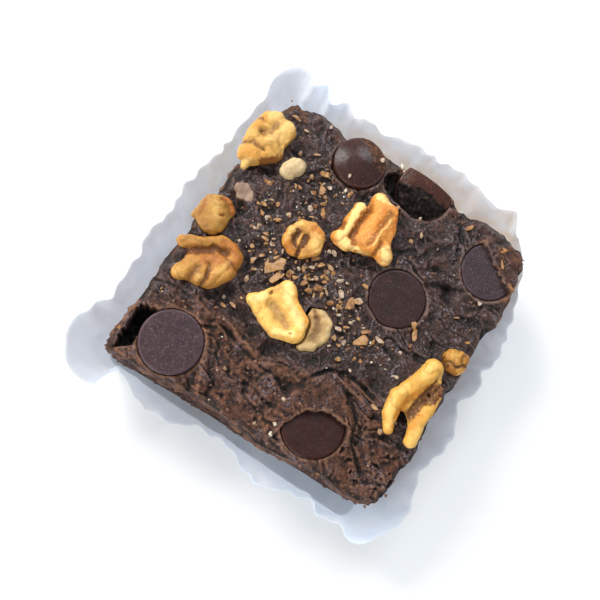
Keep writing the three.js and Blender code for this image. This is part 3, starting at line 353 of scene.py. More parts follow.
def noise(x, y, seed):
    """Smooth noise over a plane, with one swell about every unit."""
    i, j = np.floor(x), np.floor(y)
    u, v = ease(x - i), ease(y - j)
    near = hashed(i, j, seed) * (1 - u) + hashed(i + 1, j, seed) * u
    far = hashed(i, j + 1, seed) * (1 - u) + hashed(i + 1, j + 1, seed) * u
    return near * (1 - v) + far * v


def ripple(x, y, size, seed):
    """Noise with swells of one size."""
    return noise(x / size, y / size, seed)


def noise3(x, y, z, seed):
    k = np.floor(z)
    w = ease(z - k)
    return noise(x, y, k * 57 + seed) * (1 - w) + noise(x, y, (k + 1) * 57 + seed) * w


def layers(x, y, seed, count):
    """Noise of several sizes, each half as large and turned against the one before."""
    total = 0
    for k in range(count):
        total = total + noise(x, y, seed + 11 * k) * 0.5**k
        x, y = 1.6 * x + 1.2 * y + 3.7, 1.6 * y - 1.2 * x + 9.1
    return total


def cells(x, y, seed):
    """Distance to the nearest of scattered points, one about every unit, and that point's hash."""
    i, j = np.floor(x), np.floor(y)
    first = np.full(np.shape(x), 9.0)
    mark = np.zeros(np.shape(x))
    for di in (-1, 0, 1):
        for dj in (-1, 0, 1):
            px = i + di + 0.5 + 0.42 * hashed(i + di, j + dj, seed)
            py = j + dj + 0.5 + 0.42 * hashed(i + di, j + dj, seed + 1)
            d = np.hypot(x - px, y - py)
            nearer = d < first
            mark = np.where(nearer, hashed(i + di, j + dj, seed + 2), mark)
            first = np.where(nearer, d, first)
    return first, mark


def step(value, low, high):
    """0 at low, 1 at high, eased between them."""
    return ease(np.clip((value - low) / (high - low), 0, 1))


def bell(distance, width):
    return np.exp(-((distance / width) ** 2))


def pairs(row):
    """The points (x, y) in a row of numbers."""
    return list(zip(row[::2], row[1::2]))


def distance_to_line(x, y, line):
    line = pairs(line)
    best = np.full(np.shape(x), 1e9)
    for (ax, ay), (bx, by) in zip(line, line[1:]):
        dx, dy = bx - ax, by - ay
        t = np.clip(((x - ax) * dx + (y - ay) * dy) / (dx * dx + dy * dy), 0, 1)
        best = np.minimum(best, np.hypot(x - ax - t * dx, y - ay - t * dy))
    return best


# The crust

def crust(x, y):
    """Height of the bare crust, as in the solid."""
    height = TOP + 0.6 * noise(x / 15 + 3.1, y / 15 + 7.7, 1) + 0.3 * ripple(x, y, 6, 2)
    for rise, width, *line in FOLDS:
        height = height + rise * bell(distance_to_line(x, y, line), width)
    for (cx, cy), depth, width in DENTS:
        height = height - depth * bell(np.hypot(x - cx, y - cy), width)
    return height


def crust_at(x, y):
    return float(crust(np.array([float(x)]), np.array([float(y)]))[0])


def lobe_distance(x, y, z, lobe):
    lobe = list(zip(lobe[::3], lobe[1::3], lobe[2::3]))
    best = np.full(np.shape(x + z), 1e9)
    for (ax, ay, ar), (bx, by, br) in zip(lobe, lobe[1:]):
        dx, dy = bx - ax, by - ay
        t = np.clip(((x - ax) * dx + (y - ay) * dy) / (dx * dx + dy * dy), 0, 1)
        flat = (x - ax - t * dx) ** 2 + (y - ay - t * dy) ** 2
        best = np.minimum(best, np.sqrt(flat + z * z) - (ar + t * (br - ar)))
    return best


def inside_shape(x, y, corners):
    inside = np.zeros(np.shape(x), bool)
    corners = pairs(corners)
    for (ax, ay), (bx, by) in zip(corners, corners[1:] + corners[:1]):
        if ay != by:
            inside ^= ((ay > y) != (by > y)) & (x < (bx - ax) * (y - ay) / (by - ay) + ax)
    return inside


def web_distance(x, y, z, web):
    """Distance to a flat plate with a rounded edge."""
    half, *corners = web
    side = distance_to_line(x, y, corners + corners[:2])
    across = np.where(inside_shape(x, y, corners), -side, side) - WEB_EDGE
    up = np.abs(z) - half
    return np.minimum(np.maximum(across, up), 0) + np.hypot(np.maximum(across, 0), np.maximum(up, 0))


def nut_distance(x, y, z, facts):
    """Distance to a nut. x, y and z are from the middle of the nut."""
    up = z / facts["flat"]
    near = sum(np.exp(-lobe_distance(x, y, up, lobe) / NUT_BLEND) for lobe in facts["lobes"])
    if "web" in facts:
        near = near + np.exp(-web_distance(x, y, z, facts["web"]) / NUT_BLEND)
    distance = NUT_BLEND * (NUT_SHRINK - np.log(near + 1e-300))
    for nx, ny, nz, reach in facts.get("facets", []):
        distance = np.maximum(distance, nx * x + ny * y + nz * z - reach)
    return distance


def brown_front(x, y):
    """1 in the dry light-brown crust in front, 0 in the dark fudge."""
    edge = np.interp(x, BOUNDARY[::2], BOUNDARY[1::2]) + 1.2 * ripple(x, y, 3.1, 31)
    edge = edge + 0.8 * ripple(x, y, 1.3, 32)
    return (1 - step(y - edge, -2.6, 1.6)) * (0.25 + 0.75 * step(x, -32.0, -28.0))


def crumbly(x, y):
    """1 where the surface is dry crumb."""
    total = np.zeros(np.shape(x))
    for (cx, cy), width, strength in CRUMBLY:
        total = np.maximum(total, strength * bell(np.hypot(x - cx, y - cy), width))
    return np.clip(total * (1 + 0.9 * ripple(x, y, 1.4, 33)), 0, 1)


def beyond(x, y, degrees, reach, bend=0):
    """How far a place lies beyond a line across a direction."""
    angle = math.radians(degrees)
    along = y * math.cos(angle) - x * math.sin(angle)
    return x * math.cos(angle) + y * math.sin(angle) - reach + bend * along**2


def beyond_cover(x, y, chip):
    """How far a place lies beyond the line where crust starts to cover a chip."""
    return beyond(x - chip["at"][0], y - chip["at"][1], *chip["cover"], chip.get("bend", 0))


def chip_edge(x, y, chip):
    """Distance outside a chip's rim, seen from above, with the side that crust covers taken off."""
    d = np.hypot(x - chip["at"][0], y - chip["at"][1]) - chip["radius"]
    if "cover" in chip:
        ragged = 0.7 + 0.5 * ripple(x, y, 1.3, 55) + 0.35 * ripple(x, y, 0.6, 56)
        d = np.maximum(d, beyond_cover(x, y, chip) + np.maximum(ragged, 0.1))
    return d


def texture(x, y, front, dry):
    """Height of the fine folds, wrinkles, pores and crumbs of the crust."""
    wx, wy = x + 1.8 * ripple(x, y, 5, 42), y + 1.8 * ripple(x, y, 5, 43)
    lumps = 0.55 * layers(wx / 4.0, wy / 4.0, 41, 2)
    long_folds = 1 - 2 * np.abs(noise(wx / 4.2, wy / 1.5, 44))
    short_folds = 1 - 2 * np.abs(ripple(wx, wy, 1.9, 45))
    cracks = bell(noise(wx / 6.5 + 5, wy / 2.4, 46), 0.10) * step(ripple(x, y, 6, 50), -0.2, 0.4)
    folds = (0.10 + 0.16 * front) * long_folds + (0.26 - 0.12 * front) * short_folds - 0.45 * cracks
    for rise, width, *line in WRINKLES:
        folds = folds + rise * bell(distance_to_line((x + wx) / 2, (y + wy) / 2, line), width)
    grain = 0.12 * ripple(x, y, 0.9, 47) + 0.10 * ripple(x, y, 0.5, 48)
    pores = step(ripple(x, y, 1, 49), 0.45, 0.8) * (0.25 + 0.75 * step(x, 8, 22) * front + 0.5 * dry)
    bits, mark = cells(x / 1.05 + 0.4 * noise(x, y, 57), y / 1.05 + 0.4 * noise(x, y, 58), 51)
    crumbs = (0.5 - bits) * (0.5 + 0.5 * mark)
    return lumps + folds + grain - 0.45 * pores + 0.26 * dry * crumbs


def in_hollow(x, y, margin=0):
    """Below 1 inside the hollow beside the broken drop."""
    (cx, cy), (half_x, half_y) = HOLLOW["at"], HOLLOW["half"]
    return ((x - cx) / (half_x + margin)) ** 2 + ((y - cy) / (half_y + margin)) ** 2


def relief(x, y):
    """Height of the detailed crust with its sockets, and the values that its material reads."""
    front = brown_front(x, y)
    dry = np.maximum(crumbly(x, y), 0.7 * front)
    height = crust(x, y) + texture(x, y, front, dry)
    rim = np.zeros(np.shape(x))
    # Painted shade: dark in the gaps round chips and nuts, in the cleft and in the hollow
    painted_deep_shade = np.zeros(np.shape(x))
    for chip in CHIPS.values():
        d = chip_edge(x, y, chip)
        face = TOP + chip["rise"]
        wobble = 1 + 0.6 * ripple(x, y, 1.6, 51)
        if "cover" in chip:
            outside = np.hypot(x - chip["at"][0], y - chip["at"][1]) - chip["radius"]
            lip = step(beyond_cover(x, y, chip), -1.4, -0.2) * bell(np.maximum(outside, 0), 1.5)
            height = height + lip * wobble * np.maximum(face + 0.55 - height, 0)
        height = height + 0.35 * bell(d - 0.4, 0.7) * wobble
        rim = np.maximum(rim, bell(d - 0.25, 0.35))
        socket = step(-d, 0.02, 0.22)
        height = height * (1 - socket) + socket * np.minimum(height, face - CHIP_DEPTH - 0.8)
        painted_deep_shade = np.maximum(painted_deep_shade, bell(np.maximum(d, 0), 0.22))
    for facts in NUTS.values():
        (cx, cy), rise = facts["at"], facts["rise"]
        close = (np.abs(x - cx) < NUT_REACH) & (np.abs(y - cy) < NUT_REACH)
        if not close.any():
            continue
        px, py = x[close], y[close]
        d = nut_distance(px - cx, py - cy, -rise, facts) + facts.get("snug", 0)
        wobble = 1 + 0.6 * ripple(px, py, 1.2, 52)
        height[close] += 0.35 * bell(d - 0.35, 0.7) * wobble * (d > -0.3)
        widest = max(radius for lobe in facts["lobes"] for radius in lobe[2::3])
        socket = step(-d, -0.05, 0.15)
        low = crust_at(cx, cy) + rise - widest * facts["flat"] - 0.5
        height[close] = height[close] * (1 - socket) + socket * np.minimum(low, height[close])
        painted_deep_shade[close] = np.maximum(painted_deep_shade[close], 0.7 * bell(np.maximum(d, 0), 0.3))
    rough = 0.35 * ripple(x, y, 0.7, 53)
    cleft = inside_shape(x + rough, y + rough, CLEFT)
    height = np.where(cleft, np.minimum(height, TOP - CLEFT_DEPTH + 0.8 * ripple(x, y, 1.1, 54)), height)
    bowl = in_hollow(x, y)
    ball = TOP + 0.4 - HOLLOW["depth"] * np.sqrt(np.clip(1 - bowl, 0, 1)) + 0.35 * ripple(x, y, 0.8, 59)
    height = np.where(bowl < 1, np.minimum(height, ball), height)
    painted_deep_shade = np.maximum(np.maximum(painted_deep_shade, 0.8 * (1 - step(bowl, 0.5, 1.0))), cleft)
    rim = np.maximum(rim, 0.8 * bell(np.sqrt(bowl) - 1.06, 0.06))
    return height, front, dry, rim, painted_deep_shade


def outline(side, t, reach):
    """A point of the top's outline, t from 0 to 1 along one side."""
    (ax, ay), (bx, by) = CORNERS[side], CORNERS[(side + 1) % 4]
    length = math.hypot(bx - ax, by - ay)
    out = sum(size * bell(t * length - at, width) for at, size, width in SIDE_BUMPS[side])
    fade = np.minimum(np.minimum(1, 4 * t), 4 * (1 - t)) * reach * out / length
    return np.stack([ax + (bx - ax) * t + fade * (by - ay), ay + (by - ay) * t - fade * (bx - ax)], -1)


def top_points(u, v):
    front, right, back, left = (outline(k, t, 1) for k, t in enumerate((u, v, 1 - u, 1 - v)))
    u, v = u[..., None], v[..., None]
    sides = front * (1 - v) + back * v + left * (1 - u) + right * u
    corners = CORNERS[0] * (1 - u) * (1 - v) + CORNERS[1] * u * (1 - v)
    return sides - (corners + CORNERS[2] * u * v + CORNERS[3] * (1 - u) * v)


# Meshes

def add_object(name, data):
    made = bpy.data.objects.new(name, data)
    bpy.context.scene.collection.objects.link(made)
    return made


def add_mesh(name, points, faces, material, values, node):
    """A smooth mesh that rides on the object. values are named point values, node is what it replaces."""
    mesh = bpy.data.meshes.new(name)
    mesh.from_pydata((np.asarray(points, float) * MM).tolist(), [], [list(map(int, f)) for f in faces])
    for key, value in values.items():
        mesh.attributes.new(key, "FLOAT", "POINT").data.foreach_set("value", np.asarray(value, np.float32))
    mesh.polygons.foreach_set("use_smooth", [True] * len(mesh.polygons))
    mesh.materials.append(material)
    mesh.update()
    made = add_object(name, mesh)
    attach(made, "root")
    if node:
        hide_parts(node)
    return made


def write_back(work, made):
    """Puts an edited mesh back into its object, with all faces outward."""
    bmesh.ops.recalc_face_normals(work, faces=work.faces)
    work.to_mesh(made.data)
    work.free()


def quads_of_grid(rows, columns, closed):
    """Quads between the rows of a grid of points. closed joins the last column to the first."""
    across = columns if closed else columns - 1
    r, c = np.meshgrid(np.arange(rows - 1), np.arange(across), indexing="ij")
    n = (c + 1) % columns
    quads = np.stack([r * columns + c, r * columns + n, (r + 1) * columns + n, (r + 1) * columns + c], -1)
    return quads.reshape(-1, 4)


# Node materials

def colour(red, green, blue):
    """A display colour of 0 to 255 as the linear colour that shaders read."""
    parts = (part / 255 for part in (red, green, blue))
    return (*(c / 12.92 if c <= 10 / 255 else ((c + 0.055) / 1.055) ** 2.4 for c in parts), 1)


class Shader:
    """A material whose nodes are added one by one."""

    def __init__(self, name):
        self.material = bpy.data.materials.new(name)
        self.material.use_nodes = True
        self.tree = self.material.node_tree
        self.tree.nodes.clear()
        self.place = self.add("ShaderNodeTexCoord").outputs["Object"]

    def add(self, kind, inputs=None, **settings):
        made = self.tree.nodes.new(kind)
        for key, value in settings.items():
            setattr(made, key, value)
        for key, value in (inputs or {}).items():
            if isinstance(value, bpy.types.NodeSocket):
                self.tree.links.new(value, made.inputs[key])
            else:
                made.inputs[key].default_value = value
        return made

    def value(self, name):
        return self.add("ShaderNodeAttribute", attribute_name=name).outputs["Fac"]

    def grain(self, size, detail=2.0, rough=0.5, warp=0.0):
        """Noise of 0 to 1 with swells of about size millimetres."""
        inputs = {"Scale": 1 / (size * MM), "Detail": detail, "Roughness": rough, "Distortion": warp}
        return self.add("ShaderNodeTexNoise", {"Vector": self.place, **inputs}).outputs["Fac"]

    def spots(self, size, radius):
        """1 in scattered spots, one about every size millimetres."""
        near = self.add("ShaderNodeTexVoronoi", {"Vector": self.place, "Scale": 1 / (size * MM)})
        return self.span(near.outputs["Distance"], radius, radius * 0.6)

    def span(self, value, low, high, to_low=0.0, to_high=1.0):
        inputs = {"Value": value, "From Min": low, "From Max": high, "To Min": to_low, "To Max": to_high}
        return self.add("ShaderNodeMapRange", inputs).outputs["Result"]

    def maths(self, kind, a, b):
        return self.add("ShaderNodeMath", {0: a, 1: b}, operation=kind).outputs[0]

    def times(self, a, b):
        return self.maths("MULTIPLY", a, b)

    def between(self, share, a, b):
        return self.add("ShaderNodeMix", {0: share, 2: a, 3: b}).outputs[0]

    def mix(self, share, a, b):
        return self.add("ShaderNodeMix", {0: share, 6: a, 7: b}, data_type="RGBA").outputs[2]

    def over(self, share, *tone):
        """Lays a display colour, or a colour made by nodes, over the base colour."""
        self.base = self.mix(share, self.base, tone[0] if len(tone) == 1 else colour(*tone))

    def bump(self, height, depth, under=None):
        """A bumped normal: height of 0 to 1 stands for depth millimetres."""
        inputs = {"Height": height, "Distance": depth * MM, "Strength": 1.0}
        if under:
            inputs["Normal"] = under
        return self.add("ShaderNodeBump", inputs).outputs["Normal"]

    def finish(self, **inputs):
        """Ends the material in one Principled shader."""
        inputs = {key.replace("_", " "): value for key, value in inputs.items()}
        shader = self.add("ShaderNodeBsdfPrincipled", {"Base Color": self.base, **inputs})
        self.add("ShaderNodeOutputMaterial", {"Surface": shader.outputs[0]})
        return self.material


def crust_material():
    m = Shader("brownie_crumb")
    dry, rim, painted_deep_shade, high, wide_relief_for_shade = (m.value(name) for name in CRUST_VALUES[1:])
    patch, fine = m.grain(5.0, 3, 0.6, 0.6), m.grain(0.5, 3, 0.65)
    dark = m.mix(m.span(patch, 0.38, 0.62), colour(36, 18, 12), colour(58, 36, 28))
    dark = m.mix(m.span(m.grain(2.4, 4, 0.65, 0.8), 0.54, 0.70), dark, colour(82, 46, 30))
    # painted glints: bluish-grey specks painted on the dark fudge where light would glint on its gloss
    painted_glints = m.times(m.span(fine, 0.52, 0.62), m.span(m.grain(2.6, 3, 0.6, 0.5), 0.44, 0.60, 0.08, 1.0))
    dark = m.mix(m.times(painted_glints, 0.85), dark, colour(132, 123, 130))
    light = m.mix(m.span(m.grain(3.0, 4, 0.65, 0.5), 0.36, 0.66), colour(54, 29, 20), colour(94, 57, 41))
    light = m.mix(m.span(m.grain(1.1, 4, 0.7), 0.50, 0.66, 0, 0.6), light, colour(122, 80, 56))
    light = m.mix(m.span(m.grain(0.7, 3, 0.6), 0.47, 0.34, 0, 0.95), light, colour(26, 12, 8))
    # painted glints: bluish-grey specks painted on the light-brown crust
    light = m.mix(m.times(m.span(m.grain(4.2, 2), 0.48, 0.62), m.span(fine, 0.5, 0.64)), light,
                  colour(112, 102, 110))
    m.base = m.mix(m.span(dry, 0.1, 0.7), dark, light)
    crisp = m.times(m.span(m.grain(0.9, 3, 0.7), 0.56, 0.72), dry)
    m.over(m.times(crisp, m.span(dry, 0.72, 1.0, 0.25, 0.8)), 142, 90, 48)
    m.over(m.times(rim, m.span(m.grain(1.2, 3), 0.42, 0.58, 0.05, 0.8)), 142, 104, 78)
    # painted shade in the wide and the fine hollows of the crust, and a painted highlight on its raised
    # points
    m.over(m.span(wide_relief_for_shade, 0.1, -0.9, 0.0, 0.78), 18, 9, 6)
    m.over(m.span(high, 0.0, -0.9, 0.0, 0.9), 12, 6, 4)
    painted_ridge_highlight = m.mix(dry, colour(104, 86, 86), colour(142, 96, 64))
    m.over(m.span(high, 0.25, 1.0, 0.0, 0.6), painted_ridge_highlight)
    # painted shade in the gaps round chips and nuts, in the cleft and in the hollow
    m.over(m.times(painted_deep_shade, 0.85), 12, 6, 5)
    gloss = m.span(m.grain(1.6, 2), 0.35, 0.65, 0.24, 0.40)
    rough = m.between(m.span(dry, 0.1, 0.7), gloss, 0.65)
    normal = m.bump(m.grain(0.8, 4, 0.65, 0.5), 0.5)
    normal = m.bump(m.grain(0.28, 2, 0.5), 0.2, normal)
    return m.finish(Roughness=rough, Normal=normal, Specular_IOR_Level=0.30)


def chocolate_material(name, tone, polish):
    """Chocolate with a faint bloom and fine specks, brown where crumb lies on it; where broken, painted
    shade turns it near black, with lighter flecks as painted glints.
    """
    m = Shader(name)
    body = colour(*tone)
    dark = colour(*(c * 0.78 for c in tone))
    pale = colour(*(min(255, c * 1.35 + 8) for c in tone))
    m.base = m.mix(m.span(m.grain(3.2, 3), 0.3, 0.7), dark, body)
    m.over(m.span(m.grain(0.5, 3, 0.6), 0.48, 0.68, 0, 0.5), pale)
    specks = m.times(m.spots(0.5, 0.26), m.span(m.grain(1.7, 2), 0.4, 0.6, 0.2, 0.9))
    m.over(specks, *(min(255, c * 1.7 + 14) for c in tone))
    # painted highlight: a pale ring along the rounded rim of the face
    m.over(m.times(m.value("rim"), 0.4), pale)
    crumb = m.mix(m.span(m.grain(0.8, 4, 0.7), 0.4, 0.62), colour(44, 25, 18), colour(98, 64, 44))
    m.over(m.value("cover"), crumb)
    # painted shade: the broken face in the hollow painted near black, with lighter flecks as painted glints
    inside = m.mix(m.span(m.grain(0.7, 4, 0.7), 0.48, 0.7), colour(12, 6, 5), colour(66, 48, 44))
    m.over(m.value("broken"), inside)
    shine = m.span(m.grain(1.4, 3), 0.3, 0.7, *polish)
    rough = m.between(m.maths("MAXIMUM", m.value("cover"), m.value("broken")), shine, 0.85)
    normal = m.bump(m.grain(1.1, 3), 0.08)
    normal = m.bump(m.grain(0.28, 2), 0.04, normal)
    return m.finish(Roughness=rough, Normal=normal, Specular_IOR_Level=0.26)


def nut_material(name, tones):
    m = Shader(name)
    flesh, pale, amber, brown = tones
    m.base = m.mix(m.span(m.grain(1.8, 3), 0.35, 0.7), colour(*flesh), colour(*(c * 0.90 for c in flesh)))

    def part(value, size, low, high):
        """A marked part with a ragged border."""
        fray = m.span(m.grain(size, 4, 0.65, 0.4), 0.25, 0.75, -0.3, 0.3)
        return m.span(m.maths("ADD", m.value(value), fray), low, high)

    m.over(part("amber", 1.3, 0.30, 0.75), *amber)
    m.over(part("pale", 1.0, 0.30, 0.75), *pale)
    m.over(part("brown", 0.9, 0.32, 0.72), *brown)
    m.over(m.value("vein"), *(min(255, c * 1.02) for c in pale))
    m.over(m.span(m.value("crease"), 0.1, 0.9, 0, 0.75), *(c * 0.8 for c in brown))
    # painted glints: fine pale specks on the nut
    m.over(m.span(m.grain(0.5, 3, 0.6), 0.56, 0.74, 0, 0.5), *(min(255, c * 1.05 + 6) for c in pale))
    m.over(m.span(m.grain(0.7, 3, 0.6), 0.42, 0.28, 0, 0.4), *(c * 0.85 for c in amber))
    # painted shade: the lower side of the nut darker
    m.over(m.value("under"), *(c * 0.7 for c in amber))
    normal = m.bump(m.grain(1.0, 4, 0.65, 0.5), 0.22)
    normal = m.bump(m.grain(0.3, 3, 0.6), 0.06, normal)
    return m.finish(Roughness=m.span(m.grain(1.2, 3), 0.3, 0.7, 0.40, 0.60), Normal=normal,
                    Specular_IOR_Level=0.35, Subsurface_Weight=0.12, Subsurface_Radius=(1.0, 0.5, 0.2),
                    Subsurface_Scale=0.0011)


def bits_material(name, tones, rough):
    """Loose bits: each takes its own place in a run of colours, and is mottled."""
    m = Shader(name)
    pick = m.maths("ADD", m.value("pick"), m.span(m.grain(0.9, 3, 0.65), 0.3, 0.7, -0.35, 0.35))
    m.base = colour(*tones[0])
    for k, tone in enumerate(tones[1:]):
        at = (k + 0.5) / (len(tones) - 1)
        m.over(m.span(pick, at - 0.25, at + 0.25), *tone)
    m.over(m.span(m.grain(0.5, 3), 0.50, 0.72, 0, 0.55), *(c * 0.6 for c in tones[0]))
    normal = m.bump(m.grain(0.4, 3), 0.10)
    return m.finish(Roughness=rough, Normal=normal)


def paper_material():
    """Thin greaseproof paper: pale, a little see-through, stained where fat has soaked in, with painted
    warm shade low at the back, painted grey shade on some walls, and a faint glow of painted light.
    """
    m = Shader("paper")
    painted_warm_shade, oil, shade = m.value("painted_warm_shade"), m.value("oil"), m.value("shade")
    m.base = m.mix(m.span(m.grain(7, 3), 0.3, 0.7), colour(222, 230, 240), colour(236, 239, 244))
    m.over(m.span(m.grain(0.35, 2), 0.55, 0.8, 0, 0.12), 208, 214, 224)
    # painted warm shade low on the back walls near the brownie
    m.over(m.times(painted_warm_shade, m.span(m.grain(3, 4), 0.3, 0.65, 0.4, 1.0)), 221, 205, 189)
    m.over(m.times(oil, m.span(m.grain(2.2, 3), 0.35, 0.6, 0.2, 1.0)), 228, 212, 180)
    m.over(m.times(shade, m.span(m.grain(9, 2), 0.35, 0.6, 0.7, 1.0)), 204, 204, 208)
    normal = m.bump(m.grain(2.4, 3, 0.5, 0.5), 0.16)
    normal = m.bump(m.grain(0.3, 2), 0.015, normal)
    # painted light: the paper glows a little in its own colour, which stands in for light scattered through
    # it
    inputs = {"Base Color": m.base, "Roughness": 0.5, "Normal": normal, "Emission Color": m.base}
    front = m.add("ShaderNodeBsdfPrincipled", {**inputs, "Emission Strength": PAPER_GLOW})
    through = m.add("ShaderNodeBsdfTranslucent", {"Color": m.base, "Normal": normal})
    both = m.add("ShaderNodeMixShader", {0: 0.6, 1: front.outputs[0], 2: through.outputs[0]})
    m.add("ShaderNodeOutputMaterial", {"Surface": both.outputs[0]})
    return m.material


# Brownie

TOP_GRID = 264
SIDE_STEPS = 26
CRUST_VALUES = ("front", "dry", "rim", "painted_deep_shade", "high", "wide_relief_for_shade")


def over_around(height, reach):
    """How far each point of a grid stands over its surroundings."""
    shifts = ((reach, 0), (-reach, 0), (0, reach), (0, -reach))
    return height - sum(np.roll(np.roll(height, a, 0), b, 1) for a, b in shifts) / 4


def crust_top():
    """Points and values of the top, on a square grid."""
    n = TOP_GRID
    u, v = np.meshgrid(np.linspace(0, 1, n + 1), np.linspace(0, 1, n + 1), indexing="ij")
    place = top_points(u, v)
    edge = np.minimum(np.minimum(u, 1 - u), np.minimum(v, 1 - v)) * SIDE
    corner = (np.minimum(u, 1 - u) + np.minimum(v, 1 - v)) * SIDE
    ragged = 1 + 0.8 * noise(place[..., 0] / 1.7, place[..., 1] / 1.7, 66)
    back_left = step(v - u, 0.6, 0.9)
    inset = 0.014 * ragged * (1 - step(edge, 0, 2.5)) + 0.040 * (1 - step(corner, 0, 3.2))
    inset = inset + 0.035 * back_left * (1 - step(corner, 0, 9)) * (1 - step(edge, 0, 5))
    place = place * (1 - inset)[..., None]
    x, y = place[..., 0], place[..., 1]
    height, front, dry, rim, painted_deep_shade = relief(x, y)
    height = height - EDGE_DROP * (1 - step(edge, -1.0, 2.4)) * 1.6
    height = height - 0.8 * back_left * (1 - step(corner, 0, 7))
    # How far each point stands over its close and its wide surroundings; the material paints shade where it
    # is low and a highlight where it is high
    high = np.clip(over_around(height, 2) / 0.20, -1, 1)
    wide_relief_for_shade = np.clip(over_around(height, 8) / 0.45, -1, 1)
    dry = np.maximum(dry, 0.8 * (1 - step(edge, 0.2, 1.8)) * ragged)
    values = [front, np.clip(dry, 0, 1), rim, painted_deep_shade, high, wide_relief_for_shade]
    return np.stack([x, y, height], -1).reshape(-1, 3), np.stack(values, -1).reshape(-1, len(values))


def crust_side(start, side, t, row):
    """One row of points round the sides, and their values. start is the edge of the top."""
    count = len(start)
    down = (row / SIDE_STEPS) ** 1.1
    base = np.zeros((count, 2))
    for k in range(4):
        base[side == k] = outline(k, t[side == k], 1 - 0.75 * down)
    around = np.arange(count) * (SIDE * 4 / count)
    z = start[:, 2] * (1 - down) + BOTTOM * down
    crag = 0.6 * noise(around / 3.6, z / 2.6, 61) + 0.45 * noise(around / 1.5, z / 1.1, 62)
    crag = crag + 0.2 * ripple(around, z, 0.6, 63) - 0.25
    lip = bell(z - (TOP - 2.2), 0.9) * step(noise(around / 4.0, 0 * z, 64), -0.3, 0.4)
    crag = crag - 0.55 * lip
    corner = 0.7 * bell(np.minimum(t, 1 - t) * SIDE, 0.9)
    scale = 1 + (crag * (row < SIDE_STEPS) - TAPER * down - corner) / HALF_WIDTH
    blend = step(np.full(count, float(row)), 0, 2.2)[:, None]
    wide = start[:, :2] * (1 - blend) + base * scale[:, None] * blend
    (cx, down_to), (half_x, half_z) = UNDERCUT["at"], UNDERCUT["half"]
    under = ((wide[:, 0] - cx) / half_x) ** 2 + ((z - TOP + down_to) / half_z) ** 2
    inward = UNDERCUT["depth"] * np.sqrt(np.clip(1 - under, 0, 1))
    wide[:, 1] += np.where((under < 1) & (wide[:, 1] < -20), inward, 0)
    dry = np.clip(0.85 + 0.3 * ripple(around, z, 3, 65), 0, 1)
    pit = np.clip((crag + 0.35) / 0.6, -1, 1)
    # On the sides the crag's pits drive the painted shade and highlight of the relief, and the band just
    # below the top gets painted shade
    values = [np.full(count, 0.85), dry, 0 * z, 0.25 * bell(z - (TOP - 2.2), 1.2), pit, 0.5 * pit]
    return np.column_stack([wide, z]), np.column_stack(values)


def brownie():
    n = TOP_GRID
    top, values = crust_top()
    points, values = [top], [values]
    faces = [quads_of_grid(n + 1, n + 1, False)[:, ::-1]]
    index = np.arange((n + 1) ** 2).reshape(n + 1, n + 1)
    ring = np.concatenate([index[:-1, 0], index[-1, :-1], index[:0:-1, -1], index[0, :0:-1]])
    side, t = np.repeat(np.arange(4), n), np.tile(np.arange(n) / n, 4)
    above = ring
    total = len(top)
    for row in range(1, SIDE_STEPS + 1):
        place, row_values = crust_side(top[ring], side, t, row)
        below = np.arange(4 * n) + total
        faces.append(np.stack([above, np.roll(above, -1), np.roll(below, -1), below], -1)[:, ::-1])
        points.append(place)
        values.append(row_values)
        total += 4 * n
        above = below
    points.append(np.array([[0, 0, BOTTOM]]))
    values.append(np.array([[0.6, 0.8, 0, 0, 0, 0]]))
    fan = np.stack([above, np.roll(above, -1), np.full(4 * n, total)], -1)[:, ::-1]
    values = np.concatenate(values)
    polygons = [face for part in faces for face in part] + list(fan)
    add_mesh("crust", np.concatenate(points), polygons, crust_material(),
             {name: values[:, k] for k, name in enumerate(CRUST_VALUES)}, "brownie")


# Chips

def chip_profile(radius, dome):
    """Radius and height from the middle of the underside, round the rim, to the middle of the face."""
    profile = [(0, -CHIP_DEPTH), (0.3 * radius, -CHIP_DEPTH), (0.62 * radius, -CHIP_DEPTH)]
    for k in range(1, 5):
        profile.append((radius * (0.62 + 0.38 * k / 4), -CHIP_DEPTH + (CHIP_DEPTH - 1.9) * k / 4))
    profile.append((radius, -1.2))
    rim = CHIP_RIM
    for k in range(7):
        a = k / 6 * math.pi / 2
        profile.append((radius - rim + rim * math.cos(a), -rim + rim * math.sin(a)))
    for k in range(1, 25):
        r = (radius - rim) * (1 - k / 24)
        profile.append((r, dome * (1 - (r / (radius - rim)) ** 2)))
    return np.array(profile)


